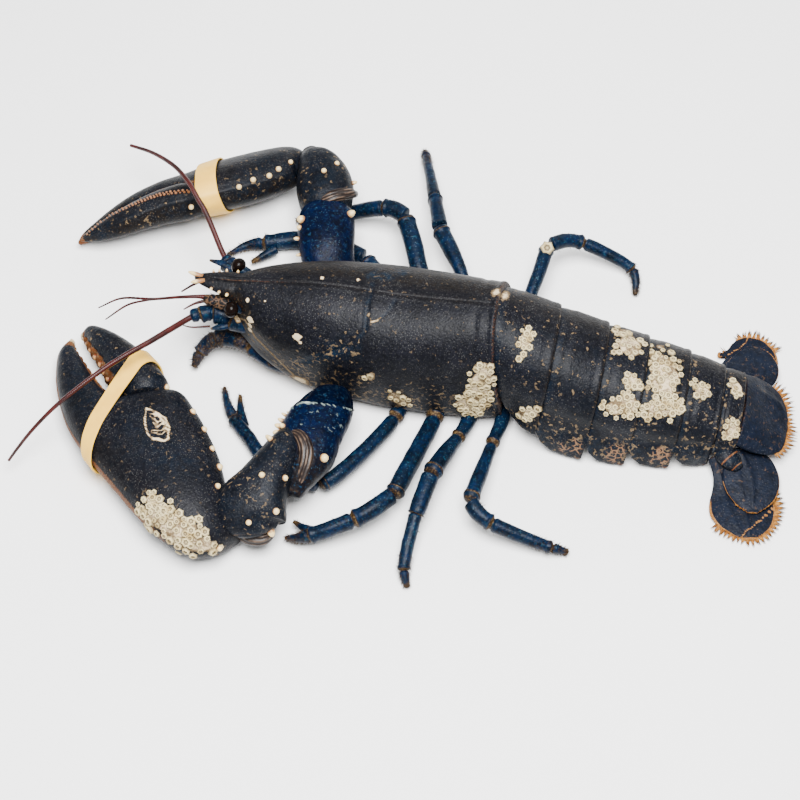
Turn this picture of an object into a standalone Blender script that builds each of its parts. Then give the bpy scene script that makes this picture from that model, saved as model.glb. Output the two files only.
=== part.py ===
"""A whole European lobster resting on a flat surface, in metres, +Z up.

+X runs from the head to the tail along the carapace, +Y to the animal's right side.
The origin is on the surface, under the middle of the carapace.
All sizes below are in millimetres. A station is one cross-section of a piece:
x, y, z of its centre, half its width, half its height, and its roll in degrees.
"""

import math

import bmesh
import bpy
import numpy as np
from mathutils import Vector
from mathutils.bvhtree import BVHTree

MM = 0.001
GAP = 0.32
GROWN = 0.42
WELD = 0.004
UP = np.array([0.0, 0.0, 1.0])
SHOWN_SIDE = np.array([0.1, -0.55, 0.83])

# Carapace: length from the rostrum's tip to the rear edge, and the rear edge's lean
CARAPACE_REAR = 41.8
REAR_LEAN = 0.15
CARAPACE_RIM = 2.4
# x, half width, height of widest line, ridge height, half width at margin, margin height
CARAPACE_STATIONS = [
    (-89.8, 1.0, 45.2, 45.8, 0.8, 44.6),
    (-87.2, 2.7, 44.8, 46.1, 2.1, 43.5),
    (-83.6, 4.0, 44.3, 46.4, 3.0, 42.6),
    (-78.0, 5.5, 43.8, 46.8, 4.4, 41.0),
    (-73.4, 6.4, 43.0, 47.1, 5.4, 37.6),
    (-70.4, 8.2, 37.5, 47.6, 8.6, 24.6),
    (-65.5, 13.0, 33.5, 48.4, 12.0, 20.6),
    (-60.0, 16.6, 31.5, 49.4, 15.6, 17.6),
    (-52.0, 20.0, 29.8, 50.9, 19.2, 14.2),
    (-43.0, 22.6, 28.6, 52.4, 22.2, 11.6),
    (-30.0, 25.3, 27.8, 53.9, 24.9, 9.3),
    (-16.0, 26.9, 27.6, 54.1, 26.6, 8.4),
    (0.0, 27.8, 27.7, 53.8, 27.6, 8.0),
    (18.0, 26.8, 28.4, 55.2, 27.4, 8.0),
    (35.0, 25.1, 29.2, 56.9, 26.2, 8.8),
    (CARAPACE_REAR, 24.4, 29.4, 57.5, 24.8, 10.5),
]
CARAPACE_BELLY = 12.4

# Thorax underside: x, half width, lowest, highest
STERNUM_STATIONS = [
    (-60.0, 3.5, 14.0, 17.0),
    (-52.0, 7.0, 9.0, 14.5),
    (-42.0, 10.0, 3.0, 11.9),
    (-33.0, 12.0, 0.0, 11.9),
    (0.0, 13.5, 0.0, 11.9),
    (30.0, 13.0, 0.0, 11.9),
    (46.0, 10.0, 0.0, 11.9),
]

# Abdomen: rear edge of each segment along the back
SEGMENT_REARS = [69.0, 90.5, 108.5, 127.0, 142.5, 151.5]
SEGMENT_STEP = 1.1
ABDOMEN_LEAN = 0.12
# x, y of the middle, half width, height of widest line, ridge height, half span of the flaps
ABDOMEN_STATIONS = [
    (42.0, 0.0, 24.0, 29.0, 56.3, 24.4),
    (56.0, -2.0, 25.6, 27.0, 51.5, 26.5),
    (70.0, -3.8, 26.3, 24.0, 48.0, 30.5),
    (90.0, -5.6, 26.2, 20.0, 42.2, 31.0),
    (108.0, -6.5, 25.6, 17.5, 37.8, 29.6),
    (127.0, -7.0, 23.4, 15.5, 33.0, 27.2),
    (143.0, -7.2, 20.6, 13.5, 27.0, 22.6),
    (153.0, -7.2, 19.2, 12.0, 23.0, 20.4),
]
FLAP_TIPS = [12.0, 3.0, 2.4, 2.4, 2.8, 5.5]
# Sections of a segment: share of its length, inward step in SEGMENT_STEP, lift of the flap's tip
SEGMENT_RINGS = [(0.0, 1.0, 10.0), (0.12, 0.55, 5.4), (0.34, 0.1, 1.7), (0.7, 0.0, 0.0), (1.0, -0.3, 1.0)]
# The flap's tip stays this far below the widest line
FLAP_ROOM = 2.0
FLAP_THICKNESS = 2.2
ABDOMEN_BELLY = 8.0

TELSON_STATIONS = [
    (152.0, -7.2, 14.6, 18.4, 6.2, 0.0),
    (157.0, -7.0, 12.4, 19.2, 4.6, 0.0),
    (163.0, -6.4, 9.8, 18.6, 3.0, 0.0),
    (168.0, -5.8, 7.8, 15.4, 2.0, 0.0),
    (170.6, -5.5, 6.8, 10.0, 1.4, 0.0),
    (171.8, -5.4, 6.4, 4.0, 0.8, 0.0),
]

# Tail fan leaves, from hinge to tip
LEAVES = {
    "uropod_left_inner": [
        (151.5, -23.0, 7.2, 4.5, 2.0, 0.0),
        (155.5, -28.0, 6.4, 10.4, 1.5, 0.0),
        (159.0, -35.0, 5.6, 12.2, 1.3, 0.0),
        (160.5, -42.0, 4.9, 10.8, 1.1, 0.0),
        (161.2, -47.5, 4.4, 7.0, 0.9, 0.0),
        (161.6, -50.8, 4.1, 2.2, 0.6, 0.0),
    ],
    "uropod_left_outer": [
        (143.4, -27.4, 6.8, 4.2, 2.5, 0.0),
        (147.5, -33.0, 3.6, 5.5, 1.7, 0.0),
        (152.8, -40.0, 2.1, 11.5, 1.2, 0.0),
        (157.0, -48.0, 1.9, 14.4, 1.1, 0.0),
        (160.0, -55.5, 1.7, 12.0, 1.0, 0.0),
        (161.4, -60.4, 1.6, 7.0, 0.8, 0.0),
        (162.0, -62.8, 1.5, 2.2, 0.6, 0.0),
    ],
    "uropod_right_inner": [
        (149.5, 9.0, 8.2, 4.5, 2.0, 0.0),
        (151.8, 14.0, 7.2, 10.0, 1.5, 0.0),
        (153.8, 20.5, 6.2, 11.8, 1.3, 0.0),
        (153.6, 26.5, 5.4, 9.8, 1.1, 0.0),
        (152.6, 31.0, 4.9, 5.6, 0.9, 0.0),
        (152.0, 33.0, 4.6, 2.0, 0.6, 0.0),
    ],
    "uropod_right_outer": [
        (140.5, 13.5, 7.0, 4.4, 2.6, 0.0),
        (143.5, 18.0, 3.8, 5.5, 1.7, 0.0),
        (149.0, 22.0, 2.3, 11.5, 1.2, 0.0),
        (151.5, 27.5, 2.1, 13.6, 1.1, 0.0),
        (150.2, 33.5, 1.9, 10.8, 1.0, 0.0),
        (148.4, 37.2, 1.8, 5.8, 0.8, 0.0),
        (147.4, 39.0, 1.7, 2.0, 0.6, 0.0),
    ],
}

# Head
EYES = {
    "eye_left": [(-68.0, -9.0, 38.6, 1.6, 1.6), (-71.4, -10.0, 40.2, 2.0, 2.0),
                 (-73.4, -10.6, 41.0, 3.1, 3.1), (-75.8, -11.3, 41.6, 2.5, 2.5)],
    "eye_right": [(-68.5, 9.4, 38.6, 1.6, 1.6), (-72.6, 11.0, 40.2, 2.0, 2.0),
                  (-74.6, 11.7, 41.0, 3.1, 3.1), (-77.0, 12.5, 41.6, 2.5, 2.5)],
}
ANTENNA_BASES = {
    "antenna_base_left": [
        (-64.0, -7.8, 27.0, 4.6, 4.2),
        (-71.0, -7.8, 28.4, 4.8, 4.6),
        (-78.0, -7.0, 30.2, 4.4, 4.2),
        (-84.0, -7.8, 30.6, 3.4, 3.4),
        (-89.8, -10.4, 30.4, 2.8, 2.8),
    ],
    "antenna_base_right": [
        (-64.0, 9.5, 27.0, 4.8, 4.4),
        (-71.0, 13.5, 28.5, 5.0, 4.6),
        (-78.0, 18.0, 30.2, 4.2, 4.0),
        (-82.2, 21.4, 31.2, 2.9, 2.8),
    ],
}
ANTENNA_BLADES = {
    "antenna_base_left": [
        (-72.5, -9.6, 28.4, 2.4, 1.6, 0.0),
        (-77.0, -12.2, 28.2, 1.8, 1.1, 0.0),
        (-81.0, -14.0, 28.0, 0.5, 0.4, 0.0),
    ],
    "antenna_base_right": [
        (-73.0, 14.0, 31.0, 2.6, 1.6, 0.0),
        (-80.0, 17.0, 33.0, 2.2, 1.2, 0.0),
        (-88.0, 18.0, 33.6, 0.6, 0.5, 0.0),
    ],
}
ANTENNAE = {
    "antenna_left": [
        (-91.4, -12.6, 30.9, 1.35, 1.35, 0.0),
        (-97.0, -20.6, 33.2, 1.35, 1.35, 0.0),
        (-103.6, -29.8, 35.6, 1.3, 1.3, 0.0),
        (-112.0, -39.6, 37.2, 1.2, 1.2, 0.0),
        (-120.8, -49.2, 36.8, 1.1, 1.1, 0.0),
        (-131.4, -59.4, 32.4, 1.0, 1.0, 0.0),
        (-139.6, -66.0, 26.4, 0.9, 0.9, 0.0),
        (-147.4, -73.4, 19.0, 0.8, 0.8, 0.0),
        (-152.6, -80.0, 13.6, 0.7, 0.7, 0.0),
        (-155.6, -84.4, 10.2, 0.6, 0.6, 0.0),
    ],
    "antenna_right": [
        (-84.2, 24.6, 32.4, 1.3, 1.3, 0.0),
        (-90.6, 34.4, 36.0, 1.25, 1.25, 0.0),
        (-95.6, 41.8, 38.0, 1.2, 1.2, 0.0),
        (-99.3, 46.2, 39.0, 1.15, 1.15, 0.0),
        (-104.4, 53.1, 39.4, 1.1, 1.1, 0.0),
        (-112.0, 62.0, 37.4, 1.0, 1.0, 0.0),
        (-119.8, 68.8, 34.4, 0.95, 0.95, 0.0),
        (-128.5, 75.0, 30.4, 0.85, 0.85, 0.0),
        (-138.9, 80.3, 26.0, 0.75, 0.75, 0.0),
    ],
}
ANTENNULES = {
    "antennule_left": [
        [(-74.0, -3.6, 36.0, 2.0, 2.0, 0.0), (-82.0, -4.4, 37.5, 1.6, 1.6, 0.0),
         (-88.0, -5.2, 38.3, 0.9, 0.9, 0.0), (-97.0, -5.8, 36.4, 0.7, 0.7, 0.0),
         (-108.4, -5.6, 32.0, 0.6, 0.6, 0.0), (-123.4, -3.6, 26.0, 0.5, 0.5, 0.0),
         (-133.2, -7.5, 22.0, 0.4, 0.4, 0.0)],
        [(-104.5, -5.8, 33.6, 0.6, 0.6, 0.0), (-112.0, -6.4, 31.0, 0.5, 0.5, 0.0),
         (-120.2, -7.6, 27.0, 0.5, 0.5, 0.0), (-128.7, -13.0, 22.0, 0.4, 0.4, 0.0)],
        [(-83.0, -5.2, 37.0, 0.9, 0.9, 0.0), (-89.0, -6.8, 35.2, 0.6, 0.6, 0.0),
         (-94.0, -8.6, 32.0, 0.4, 0.4, 0.0)],
    ],
    "antennule_right": [
        [(-74.0, 3.6, 36.0, 2.0, 2.0, 0.0), (-82.0, 4.4, 37.0, 1.6, 1.6, 0.0),
         (-87.0, 5.0, 37.2, 0.9, 0.9, 0.0), (-92.0, 3.0, 35.0, 0.6, 0.6, 0.0),
         (-97.0, 0.5, 32.0, 0.5, 0.5, 0.0)],
    ],
}
# Third pair of jaw legs, left; the right ones are their mirror image
JAW_LEG = [
    (-44.0, -15.0, 7.6, 3.4, 2.8, 0.0),
    (-54.0, -14.6, 11.4, 4.2, 3.4, 0.0),
    (-66.0, -9.6, 14.6, 4.4, 3.8, 0.0),
    (-76.5, -7.6, 13.4, 4.0, 3.8, 0.0),
    (-83.5, -9.4, 10.6, 3.6, 3.4, 0.0),
    (-87.4, -14.2, 7.0, 2.8, 2.6, 0.0),
    (-88.8, -19.0, 4.2, 1.5, 1.5, 0.0),
]

# Crusher claw, left: outer edge x, y, inner edge x, y, height of the middle, half thickness
CRUSHER_PALM = [
    (-51.0, -106.5, -50.0, -99.5, 9.5, 4.5),
    (-56.5, -113.0, -56.0, -91.5, 11.5, 9.0),
    (-66.0, -117.6, -61.0, -81.5, 13.2, 12.0),
    (-78.0, -115.0, -66.2, -70.5, 14.4, 13.8),
    (-92.0, -105.5, -73.0, -60.0, 14.8, 14.4),
    (-104.5, -94.5, -80.6, -49.8, 14.4, 14.0),
    (-115.5, -85.0, -89.5, -41.6, 14.9, 13.2),
    (-123.0, -77.6, -101.0, -43.0, 13.9, 12.0),
    (-130.0, -70.0, -113.5, -47.6, 12.7, 10.6),
    (-136.0, -61.5, -120.8, -45.2, 11.6, 9.6),
    (-141.0, -52.0, -126.4, -40.4, 10.6, 8.6),
    (-145.0, -42.5, -131.6, -34.4, 9.8, 7.4),
    (-147.3, -33.0, -136.6, -28.4, 9.2, 6.0),
    (-147.8, -25.0, -140.8, -23.4, 8.8, 4.4),
    (-144.8, -17.8, -142.6, -19.0, 8.4, 1.8),
]
CRUSHER_FINGER = [
    (-95.0, -43.5, -112.0, -49.5, 15.0, 9.6),
    (-95.2, -38.0, -116.5, -45.0, 14.6, 11.4),
    (-100.8, -31.6, -121.0, -41.0, 14.2, 11.6),
    (-107.4, -25.6, -124.6, -36.8, 13.6, 11.0),
    (-115.0, -20.4, -127.6, -32.0, 13.0, 10.0),
    (-123.0, -15.7, -131.6, -27.4, 12.2, 8.6),
    (-130.5, -12.4, -135.2, -22.8, 11.2, 7.0),
    (-137.0, -11.4, -137.6, -18.8, 10.2, 5.0),
    (-140.6, -14.6, -139.8, -17.2, 9.4, 1.8),
]
CRUSHER_CARPUS = [
    (-34.5, -58.0, 22.0, 5.5, 6.5, 0.0),
    (-37.6, -64.5, 21.6, 7.6, 9.4, 0.0),
    (-40.6, -73.5, 21.0, 9.4, 11.2, 0.0),
    (-43.4, -83.0, 20.4, 11.6, 11.4, 0.0),
    (-46.0, -91.5, 19.4, 14.8, 10.2, 0.0),
    (-46.8, -98.5, 17.6, 15.2, 8.4, 0.0),
    (-45.8, -103.2, 16.2, 11.0, 5.6, 0.0),
    (-45.4, -105.0, 15.4, 6.0, 3.0, 0.0),
]
CRUSHER_MERUS = [
    (-27.0, -15.5, 6.2, 5.0, 4.4, 0.0),
    (-26.6, -24.0, 7.2, 6.6, 5.0, 0.0),
    (-24.6, -33.0, 13.6, 9.6, 7.4, 0.0),
    (-25.8, -43.5, 19.0, 12.2, 8.8, 0.0),
    (-28.8, -55.0, 21.4, 13.4, 9.2, 0.0),
    (-27.8, -66.0, 21.2, 11.2, 8.4, 0.0),
    (-29.4, -75.0, 19.4, 7.4, 7.0, 0.0),
    (-31.6, -83.5, 16.6, 4.0, 4.2, 0.0),
]

# Cutter claw, right
CUTTER_ROLL = -35.0
CUTTER_PALM = [
    (-60.5, 91.0, 15.4, 6.0, 5.5, CUTTER_ROLL),
    (-66.0, 90.0, 15.0, 11.5, 8.4, CUTTER_ROLL),
    (-73.0, 86.0, 14.9, 14.8, 10.0, CUTTER_ROLL),
    (-83.0, 80.0, 14.8, 16.8, 10.6, CUTTER_ROLL),
    (-94.0, 73.8, 14.8, 16.8, 10.4, CUTTER_ROLL),
    (-104.0, 69.0, 14.2, 15.4, 9.8, CUTTER_ROLL),
    (-112.0, 67.0, 12.4, 11.6, 9.0, CUTTER_ROLL),
    (-120.0, 64.6, 10.2, 9.2, 8.4, CUTTER_ROLL),
    (-129.0, 59.4, 9.2, 8.0, 7.4, CUTTER_ROLL),
    (-138.0, 52.2, 8.2, 6.4, 6.2, CUTTER_ROLL),
    (-146.0, 44.6, 7.2, 4.4, 4.6, CUTTER_ROLL),
    (-151.5, 39.8, 6.4, 2.6, 2.8, CUTTER_ROLL),
    (-154.2, 36.8, 6.0, 1.0, 1.0, CUTTER_ROLL),
]
CUTTER_FINGER = [
    (-103.5, 60.4, 19.6, 6.4, 7.6, CUTTER_ROLL),
    (-110.0, 57.8, 19.0, 8.4, 8.4, CUTTER_ROLL),
    (-119.0, 54.2, 17.6, 8.0, 7.8, CUTTER_ROLL),
    (-128.0, 49.4, 16.0, 7.0, 6.8, CUTTER_ROLL),
    (-137.0, 44.4, 13.8, 5.6, 5.6, CUTTER_ROLL),
    (-145.0, 40.4, 11.0, 4.0, 4.0, CUTTER_ROLL),
    (-150.6, 38.2, 9.0, 2.2, 2.2, CUTTER_ROLL),
    (-153.0, 37.0, 8.2, 1.0, 1.0, CUTTER_ROLL),
]
CUTTER_CARPUS = [
    (-44.6, 60.5, 20.0, 7.4, 7.0, 0.0),
    (-46.0, 67.0, 20.4, 11.6, 10.0, 0.0),
    (-48.0, 76.0, 20.6, 13.0, 11.0, 0.0),
    (-51.6, 84.5, 20.2, 11.4, 10.4, 0.0),
    (-56.0, 91.0, 19.4, 7.8, 8.0, 0.0),
    (-58.8, 95.0, 18.8, 3.8, 4.6, 0.0),
]
CUTTER_MERUS = [
    (-30.0, 15.5, 6.2, 5.0, 4.4, 0.0),
    (-32.0, 24.0, 7.6, 6.8, 5.2, 0.0),
    (-36.5, 32.5, 14.5, 10.6, 7.6, 0.0),
    (-40.6, 42.0, 20.0, 12.4, 8.8, 0.0),
    (-42.6, 52.0, 21.4, 12.8, 9.4, 0.0),
    (-43.6, 60.5, 21.4, 12.0, 9.0, 0.0),
    (-44.0, 65.0, 21.2, 8.0, 6.4, 0.0),
]

# Rubber bands round the claws: a point inside, the direction of the axis and the width; the left is stretched more
BAND_THICKNESS = 0.95
BAND_SLACK = 0.82
BANDS = {
    "band_left": ((-112.4, -56.9, 13.0), (-0.945, 0.327, -0.34), 7.2),
    "band_right": ((-98.2, 72.2, 13.0), (-0.956, -0.292, -0.3), 9.5),
}

# Walking legs: upper part from the thorax to the knee, lower part from the knee to the tip
LEG_UPPERS = {
    "leg_2_left": [
        (6.0, -14.4, 6.0, 3.2, 3.4), (3.6, -30.0, 5.6, 3.2, 3.4), (-4.6, -48.0, 7.2, 3.3, 3.6),
        (-14.8, -64.6, 8.0, 3.3, 3.6), (-20.6, -70.6, 7.4, 3.2, 3.4),
    ],
    "leg_3_left": [
        (19.5, -14.4, 6.0, 3.6, 3.6), (20.4, -28.0, 6.4, 3.6, 3.8), (16.4, -48.0, 9.8, 3.8, 4.2),
        (12.4, -66.0, 12.8, 3.9, 4.4), (10.8, -73.0, 13.4, 3.8, 4.2),
    ],
    "leg_4_left": [
        (34.0, -14.0, 6.0, 3.4, 3.4), (35.2, -26.0, 6.2, 3.4, 3.6), (32.0, -38.0, 8.0, 2.8, 3.2),
        (28.4, -49.0, 11.2, 3.6, 4.0), (24.8, -61.0, 14.4, 4.0, 4.2),
    ],
    "leg_5_left": [
        (46.0, -11.8, 6.0, 3.2, 3.2), (49.4, -23.0, 6.4, 3.2, 3.4), (47.2, -39.2, 8.6, 2.7, 3.0),
        (44.8, -57.5, 12.2, 3.2, 3.6), (43.0, -70.6, 14.0, 3.4, 3.6),
    ],
    "leg_2_right": [
        (4.0, 14.4, 6.0, 3.2, 3.4), (-5.0, 28.0, 6.2, 3.4, 3.6), (-15.0, 40.0, 6.8, 3.6, 3.6),
        (-23.5, 48.6, 6.6, 3.6, 3.6),
    ],
    "leg_3_right": [
        (17.5, 14.4, 6.0, 3.6, 3.6), (10.0, 27.5, 6.8, 3.8, 3.8), (1.6, 42.0, 14.6, 4.0, 4.2),
        (-3.6, 54.4, 17.4, 4.2, 4.4), (-8.8, 66.0, 18.0, 4.0, 4.2),
    ],
    "leg_4_right": [
        (33.0, 14.0, 6.0, 3.2, 3.4), (26.6, 28.0, 8.4, 3.0, 3.4), (20.6, 42.4, 15.2, 3.0, 3.4),
        (13.6, 54.0, 17.2, 3.6, 3.8), (7.6, 63.0, 18.0, 3.8, 4.0),
    ],
    "leg_5_right": [
        (46.0, 11.8, 6.0, 3.2, 3.2), (49.6, 22.0, 7.0, 3.0, 3.2), (52.2, 36.0, 14.2, 2.9, 3.2),
        (54.6, 50.0, 17.0, 3.1, 3.4), (56.0, 61.0, 18.0, 3.2, 3.4),
    ],
}
LEG_LOWERS = {
    "leg_2_left": [
        (-24.0, -71.4, 6.8, 3.0, 3.2), (-36.5, -68.4, 5.4, 3.2, 3.4), (-50.0, -60.0, 5.0, 3.0, 3.4),
        (-58.0, -51.4, 4.8, 3.0, 3.4), (-64.4, -44.8, 4.4, 2.8, 3.0), (-70.0, -36.4, 3.4, 1.9, 2.0),
        (-73.6, -27.4, 2.6, 0.9, 1.0),
    ],
    "leg_3_left": [
        (9.2, -75.6, 13.6, 3.7, 4.0), (3.6, -82.6, 13.8, 3.8, 4.2), (-3.2, -88.4, 13.0, 3.7, 4.0),
        (-12.0, -93.4, 11.2, 3.3, 3.6), (-20.4, -97.0, 8.8, 3.1, 3.4), (-26.4, -98.0, 6.0, 2.0, 2.2),
        (-31.6, -97.6, 3.8, 0.9, 1.0),
    ],
    "leg_4_left": [
        (24.2, -63.8, 14.8, 3.8, 4.0), (21.8, -78.4, 13.0, 3.6, 3.8), (21.0, -83.0, 11.8, 2.9, 3.2),
        (20.0, -95.0, 7.8, 2.8, 3.0), (20.0, -104.0, 4.6, 2.5, 2.7), (22.4, -110.6, 1.8, 1.2, 1.3),
    ],
    "leg_5_left": [
        (43.6, -73.4, 14.0, 3.4, 3.6), (47.0, -77.0, 13.4, 3.4, 3.6), (53.4, -80.2, 11.8, 3.2, 3.4),
        (66.0, -82.4, 8.8, 2.8, 3.0), (77.8, -83.6, 5.8, 2.4, 2.6), (86.2, -83.0, 2.6, 1.3, 1.4),
    ],
    "leg_2_right": [
        (-26.4, 51.4, 6.2, 3.5, 3.6), (-36.0, 55.0, 5.6, 3.4, 3.6), (-47.0, 56.6, 5.4, 3.4, 3.6),
        (-58.0, 55.4, 5.6, 4.0, 4.2), (-69.0, 52.2, 5.4, 3.5, 3.6), (-79.0, 49.6, 4.4, 2.0, 2.2),
        (-86.8, 44.2, 3.2, 0.9, 1.0),
    ],
    "leg_3_right": [
        (-10.0, 68.6, 18.0, 3.8, 4.0), (-16.0, 71.6, 17.6, 3.8, 4.0), (-23.0, 72.2, 15.6, 3.6, 3.8),
        (-33.6, 72.4, 10.2, 3.4, 3.4), (-43.0, 71.8, 5.0, 2.9, 3.0), (-52.0, 70.6, 3.4, 2.0, 2.1),
        (-60.0, 69.0, 2.2, 0.9, 1.0),
    ],
    "leg_4_right": [
        (6.6, 65.8, 18.0, 3.6, 3.8), (3.6, 76.0, 16.6, 3.2, 3.4), (0.8, 85.4, 14.0, 3.0, 3.2),
        (-3.6, 100.0, 9.6, 2.4, 2.6), (-7.2, 112.4, 5.0, 2.0, 2.2), (-8.9, 118.0, 2.6, 1.2, 1.3),
    ],
    "leg_5_right": [
        (58.0, 64.2, 18.0, 3.2, 3.4), (64.0, 68.4, 16.6, 3.1, 3.3), (71.4, 70.2, 14.0, 2.9, 3.1),
        (84.0, 68.8, 9.8, 2.7, 2.9), (94.0, 66.2, 6.0, 2.4, 2.6), (97.2, 61.4, 4.2, 1.9, 2.0),
        (97.8, 55.0, 2.4, 1.0, 1.0),
    ],
}
# Second finger of the small pincers
LEG_THUMBS = {
    "leg_2_left": [(-60.6, -45.6, 4.4, 2.0, 2.0), (-64.0, -38.0, 3.6, 1.7, 1.8),
                   (-66.0, -30.0, 2.8, 0.8, 0.9)],
    "leg_3_left": [(-19.0, -95.0, 8.6, 2.0, 2.0), (-25.0, -93.0, 6.2, 1.7, 1.8),
                   (-29.8, -89.8, 4.6, 0.8, 0.9)],
    "leg_2_right": [(-66.0, 49.0, 5.2, 2.2, 2.4), (-70.6, 45.0, 4.6, 1.8, 2.0),
                    (-75.4, 41.4, 3.6, 0.9, 1.0)],
    "leg_3_right": [(-43.0, 70.2, 4.6, 1.8, 1.8), (-50.0, 66.6, 3.4, 1.5, 1.6),
                    (-56.0, 64.8, 2.4, 0.8, 0.9)],
}

# Knobs and barnacles are sunk this far, and none sits lower than this
LUMP_SUNK = 0.6
LUMP_LOWEST = 11.0
# The narrow end of a knob: its share of the radius and of the height
KNOB_SHOULDER = (0.78, 0.62)
# Knobs and spines: a point near the surface, radius and height
KNOBS = {
    "carapace": [(-82.0, -3.6, 45.0, 0.9, 1.6), (-78.4, -4.6, 45.0, 0.9, 1.6),
                 (-74.8, -5.2, 45.0, 1.0, 1.8)],
    "crusher_palm": [
        (-81.2, -52.2, 19.5, 1.7, 1.6), (-74.6, -59.8, 19.0, 1.7, 1.6), (-68.9, -69.9, 20.9, 1.6, 1.5),
        (-64.4, -76.5, 18.0, 1.9, 1.8), (-62.4, -88.2, 22.0, 1.6, 1.5), (-57.0, -112.0, 12.5, 1.6, 1.4),
    ],
    "crusher_finger": [(-95.6, -40.2, 17.0, 1.8, 1.5)],
    "crusher_carpus": [
        (-43.6, -85.2, 31.5, 1.6, 1.5), (-34.4, -82.9, 28.0, 1.6, 1.5), (-35.4, -97.0, 24.0, 1.7, 1.6),
        (-46.0, -102.7, 21.3, 1.5, 1.4), (-37.0, -102.4, 16.0, 2.0, 2.4), (-44.4, -66.0, 30.5, 1.3, 2.0),
    ],
    "crusher_merus": [(-21.3, -68.9, 25.3, 2.3, 2.4)],
    "cutter_finger": [(-104.9, 52.7, 23.3, 1.5, 1.4)],
    "cutter_palm": [
        (-86.0, 69.3, 20.2, 1.5, 1.4), (-80.4, 73.7, 21.1, 1.6, 1.5), (-73.8, 77.5, 20.8, 1.6, 1.5),
        (-70.3, 81.3, 21.8, 1.6, 1.5), (-65.8, 86.4, 21.6, 1.4, 1.3),
    ],
    "cutter_carpus": [
        (-48.4, 77.1, 31.3, 1.5, 1.4), (-43.9, 84.3, 28.4, 1.4, 1.3), (-37.4, 79.0, 24.0, 1.2, 2.2),
    ],
    "cutter_merus": [
        (-53.9, 52.7, 25.4, 2.2, 2.4), (-54.1, 48.9, 24.4, 1.5, 1.6), (-53.8, 43.4, 23.6, 1.1, 2.2),
        (-33.5, 61.0, 23.0, 2.0, 2.8), (-51.6, 37.6, 20.0, 1.0, 2.0),
    ],
    "leg_5_right_upper": [(56.2, 59.8, 20.6, 3.0, 1.6)],
}
BARNACLE_RADIUS = 2.3
BARNACLE_HEIGHT = 1.2
# The rim's share of the radius, and the mouth's depth as a share of the height
BARNACLE_RIM = 0.6
BARNACLE_MOUTH = 0.45
BARNACLE_SPACING = 5.6
BARNACLE_CLOSEST = 4.9
# How far a barnacle strays from its grid, how much its size varies, and how far it may lie outside
BARNACLE_STRAY = 0.35
BARNACLE_SIZES = (0.85, 1.1)
CLUSTER_EDGE = 0.6
BARNACLE_SEED = 7
LUMP_SIDES = 5
# Height from which a lump is dropped on its piece
DROP = 60.0
# Clusters of barnacles: node, middle, half length, half width, turn in degrees
CLUSTERS = [
    ("crusher_palm", (-74.3, -111.8, 21.7), 19.5, 7.0, -31.0),
    ("carapace", (37.0, -25.0, 30.5), 11.5, 6.0, 80.0),
    ("carapace", (4.0, -27.9, 15.0), 6.0, 3.2, -20.0),
    ("carapace", (-7.8, -27.4, 29.1), 1.5, 1.5, 0.0),
    ("abdomen_1", (55.9, -11.9, 49.7), 5.4, 3.4, 80.0),
    ("abdomen_1", (60.5, -29.8, 21.9), 5.0, 2.6, 5.0),
    ("abdomen_3", (99.8, 1.2, 38.8), 6.4, 6.0, 0.0),
    ("abdomen_3", (102.5, -16.1, 37.5), 3.6, 3.6, 0.0),
    ("abdomen_3", (100.6, -24.3, 33.2), 7.0, 5.0, 10.0),
    ("abdomen_4", (115.9, -8.8, 35.5), 12.0, 7.0, 100.0),
    ("abdomen_4", (117.1, -22.6, 30.9), 7.4, 5.0, 0.0),
    ("abdomen_5", (132.9, -10.7, 30.4), 4.4, 4.4, 0.0),
    ("abdomen_6", (147.2, -2.0, 24.6), 4.6, 2.0, -70.0),
    ("abdomen_6", (147.0, -21.9, 20.8), 4.6, 2.2, 80.0),
]

# Colours, roughness and metallic value of each kind of surface
FINISHES = {
    "shell": ((0.012, 0.017, 0.035), 0.34, 0.0),
    "limb": ((0.016, 0.045, 0.115), 0.36, 0.0),
    "fan": ((0.014, 0.019, 0.036), 0.42, 0.0),
    "feeler": ((0.10, 0.018, 0.014), 0.4, 0.0),
    "eye": ((0.008, 0.007, 0.008), 0.12, 0.0),
    "knob": ((0.75, 0.66, 0.5), 0.5, 0.0),
    "belly": ((0.42, 0.27, 0.19), 0.5, 0.0),
    "rubber": ((0.78, 0.62, 0.36), 0.6, 0.0),
}


def clear_scene():
    """Empties the scene of every object."""
    for item in list(bpy.data.objects):
        bpy.data.objects.remove(item, do_unlink=True)


def material(name):
    """The Principled material of this kind of surface."""
    found = bpy.data.materials.get(name)
    if found:
        return found
    colour, roughness, metallic = FINISHES[name]
    made = bpy.data.materials.new(name)
    made.use_nodes = True
    shader = made.node_tree.nodes["Principled BSDF"]
    shader.inputs["Base Color"].default_value = (*colour, 1.0)
    shader.inputs["Roughness"].default_value = roughness
    shader.inputs["Metallic"].default_value = metallic
    made.diffuse_color = (*colour, 1.0)
    return made


def solid(name, points, faces, finish):
    """An object from points in millimetres, its faces turned outwards."""
    mesh = bpy.data.meshes.new(name)
    mesh.from_pydata([tuple(float(v) * MM for v in p) for p in points], [], faces)
    shape = bmesh.new()
    shape.from_mesh(mesh)
    bmesh.ops.recalc_face_normals(shape, faces=shape.faces)
    bmesh.ops.triangulate(shape, faces=shape.faces)
    shape.to_mesh(mesh)
    shape.free()
    mesh.shade_smooth()
    mesh.materials.append(material(finish))
    made = bpy.data.objects.new(name, mesh)
    bpy.context.scene.collection.objects.link(made)
    return made


def unit(rows):
    """Each row divided by its length."""
    return rows / np.linalg.norm(rows, axis=-1, keepdims=True)


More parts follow.
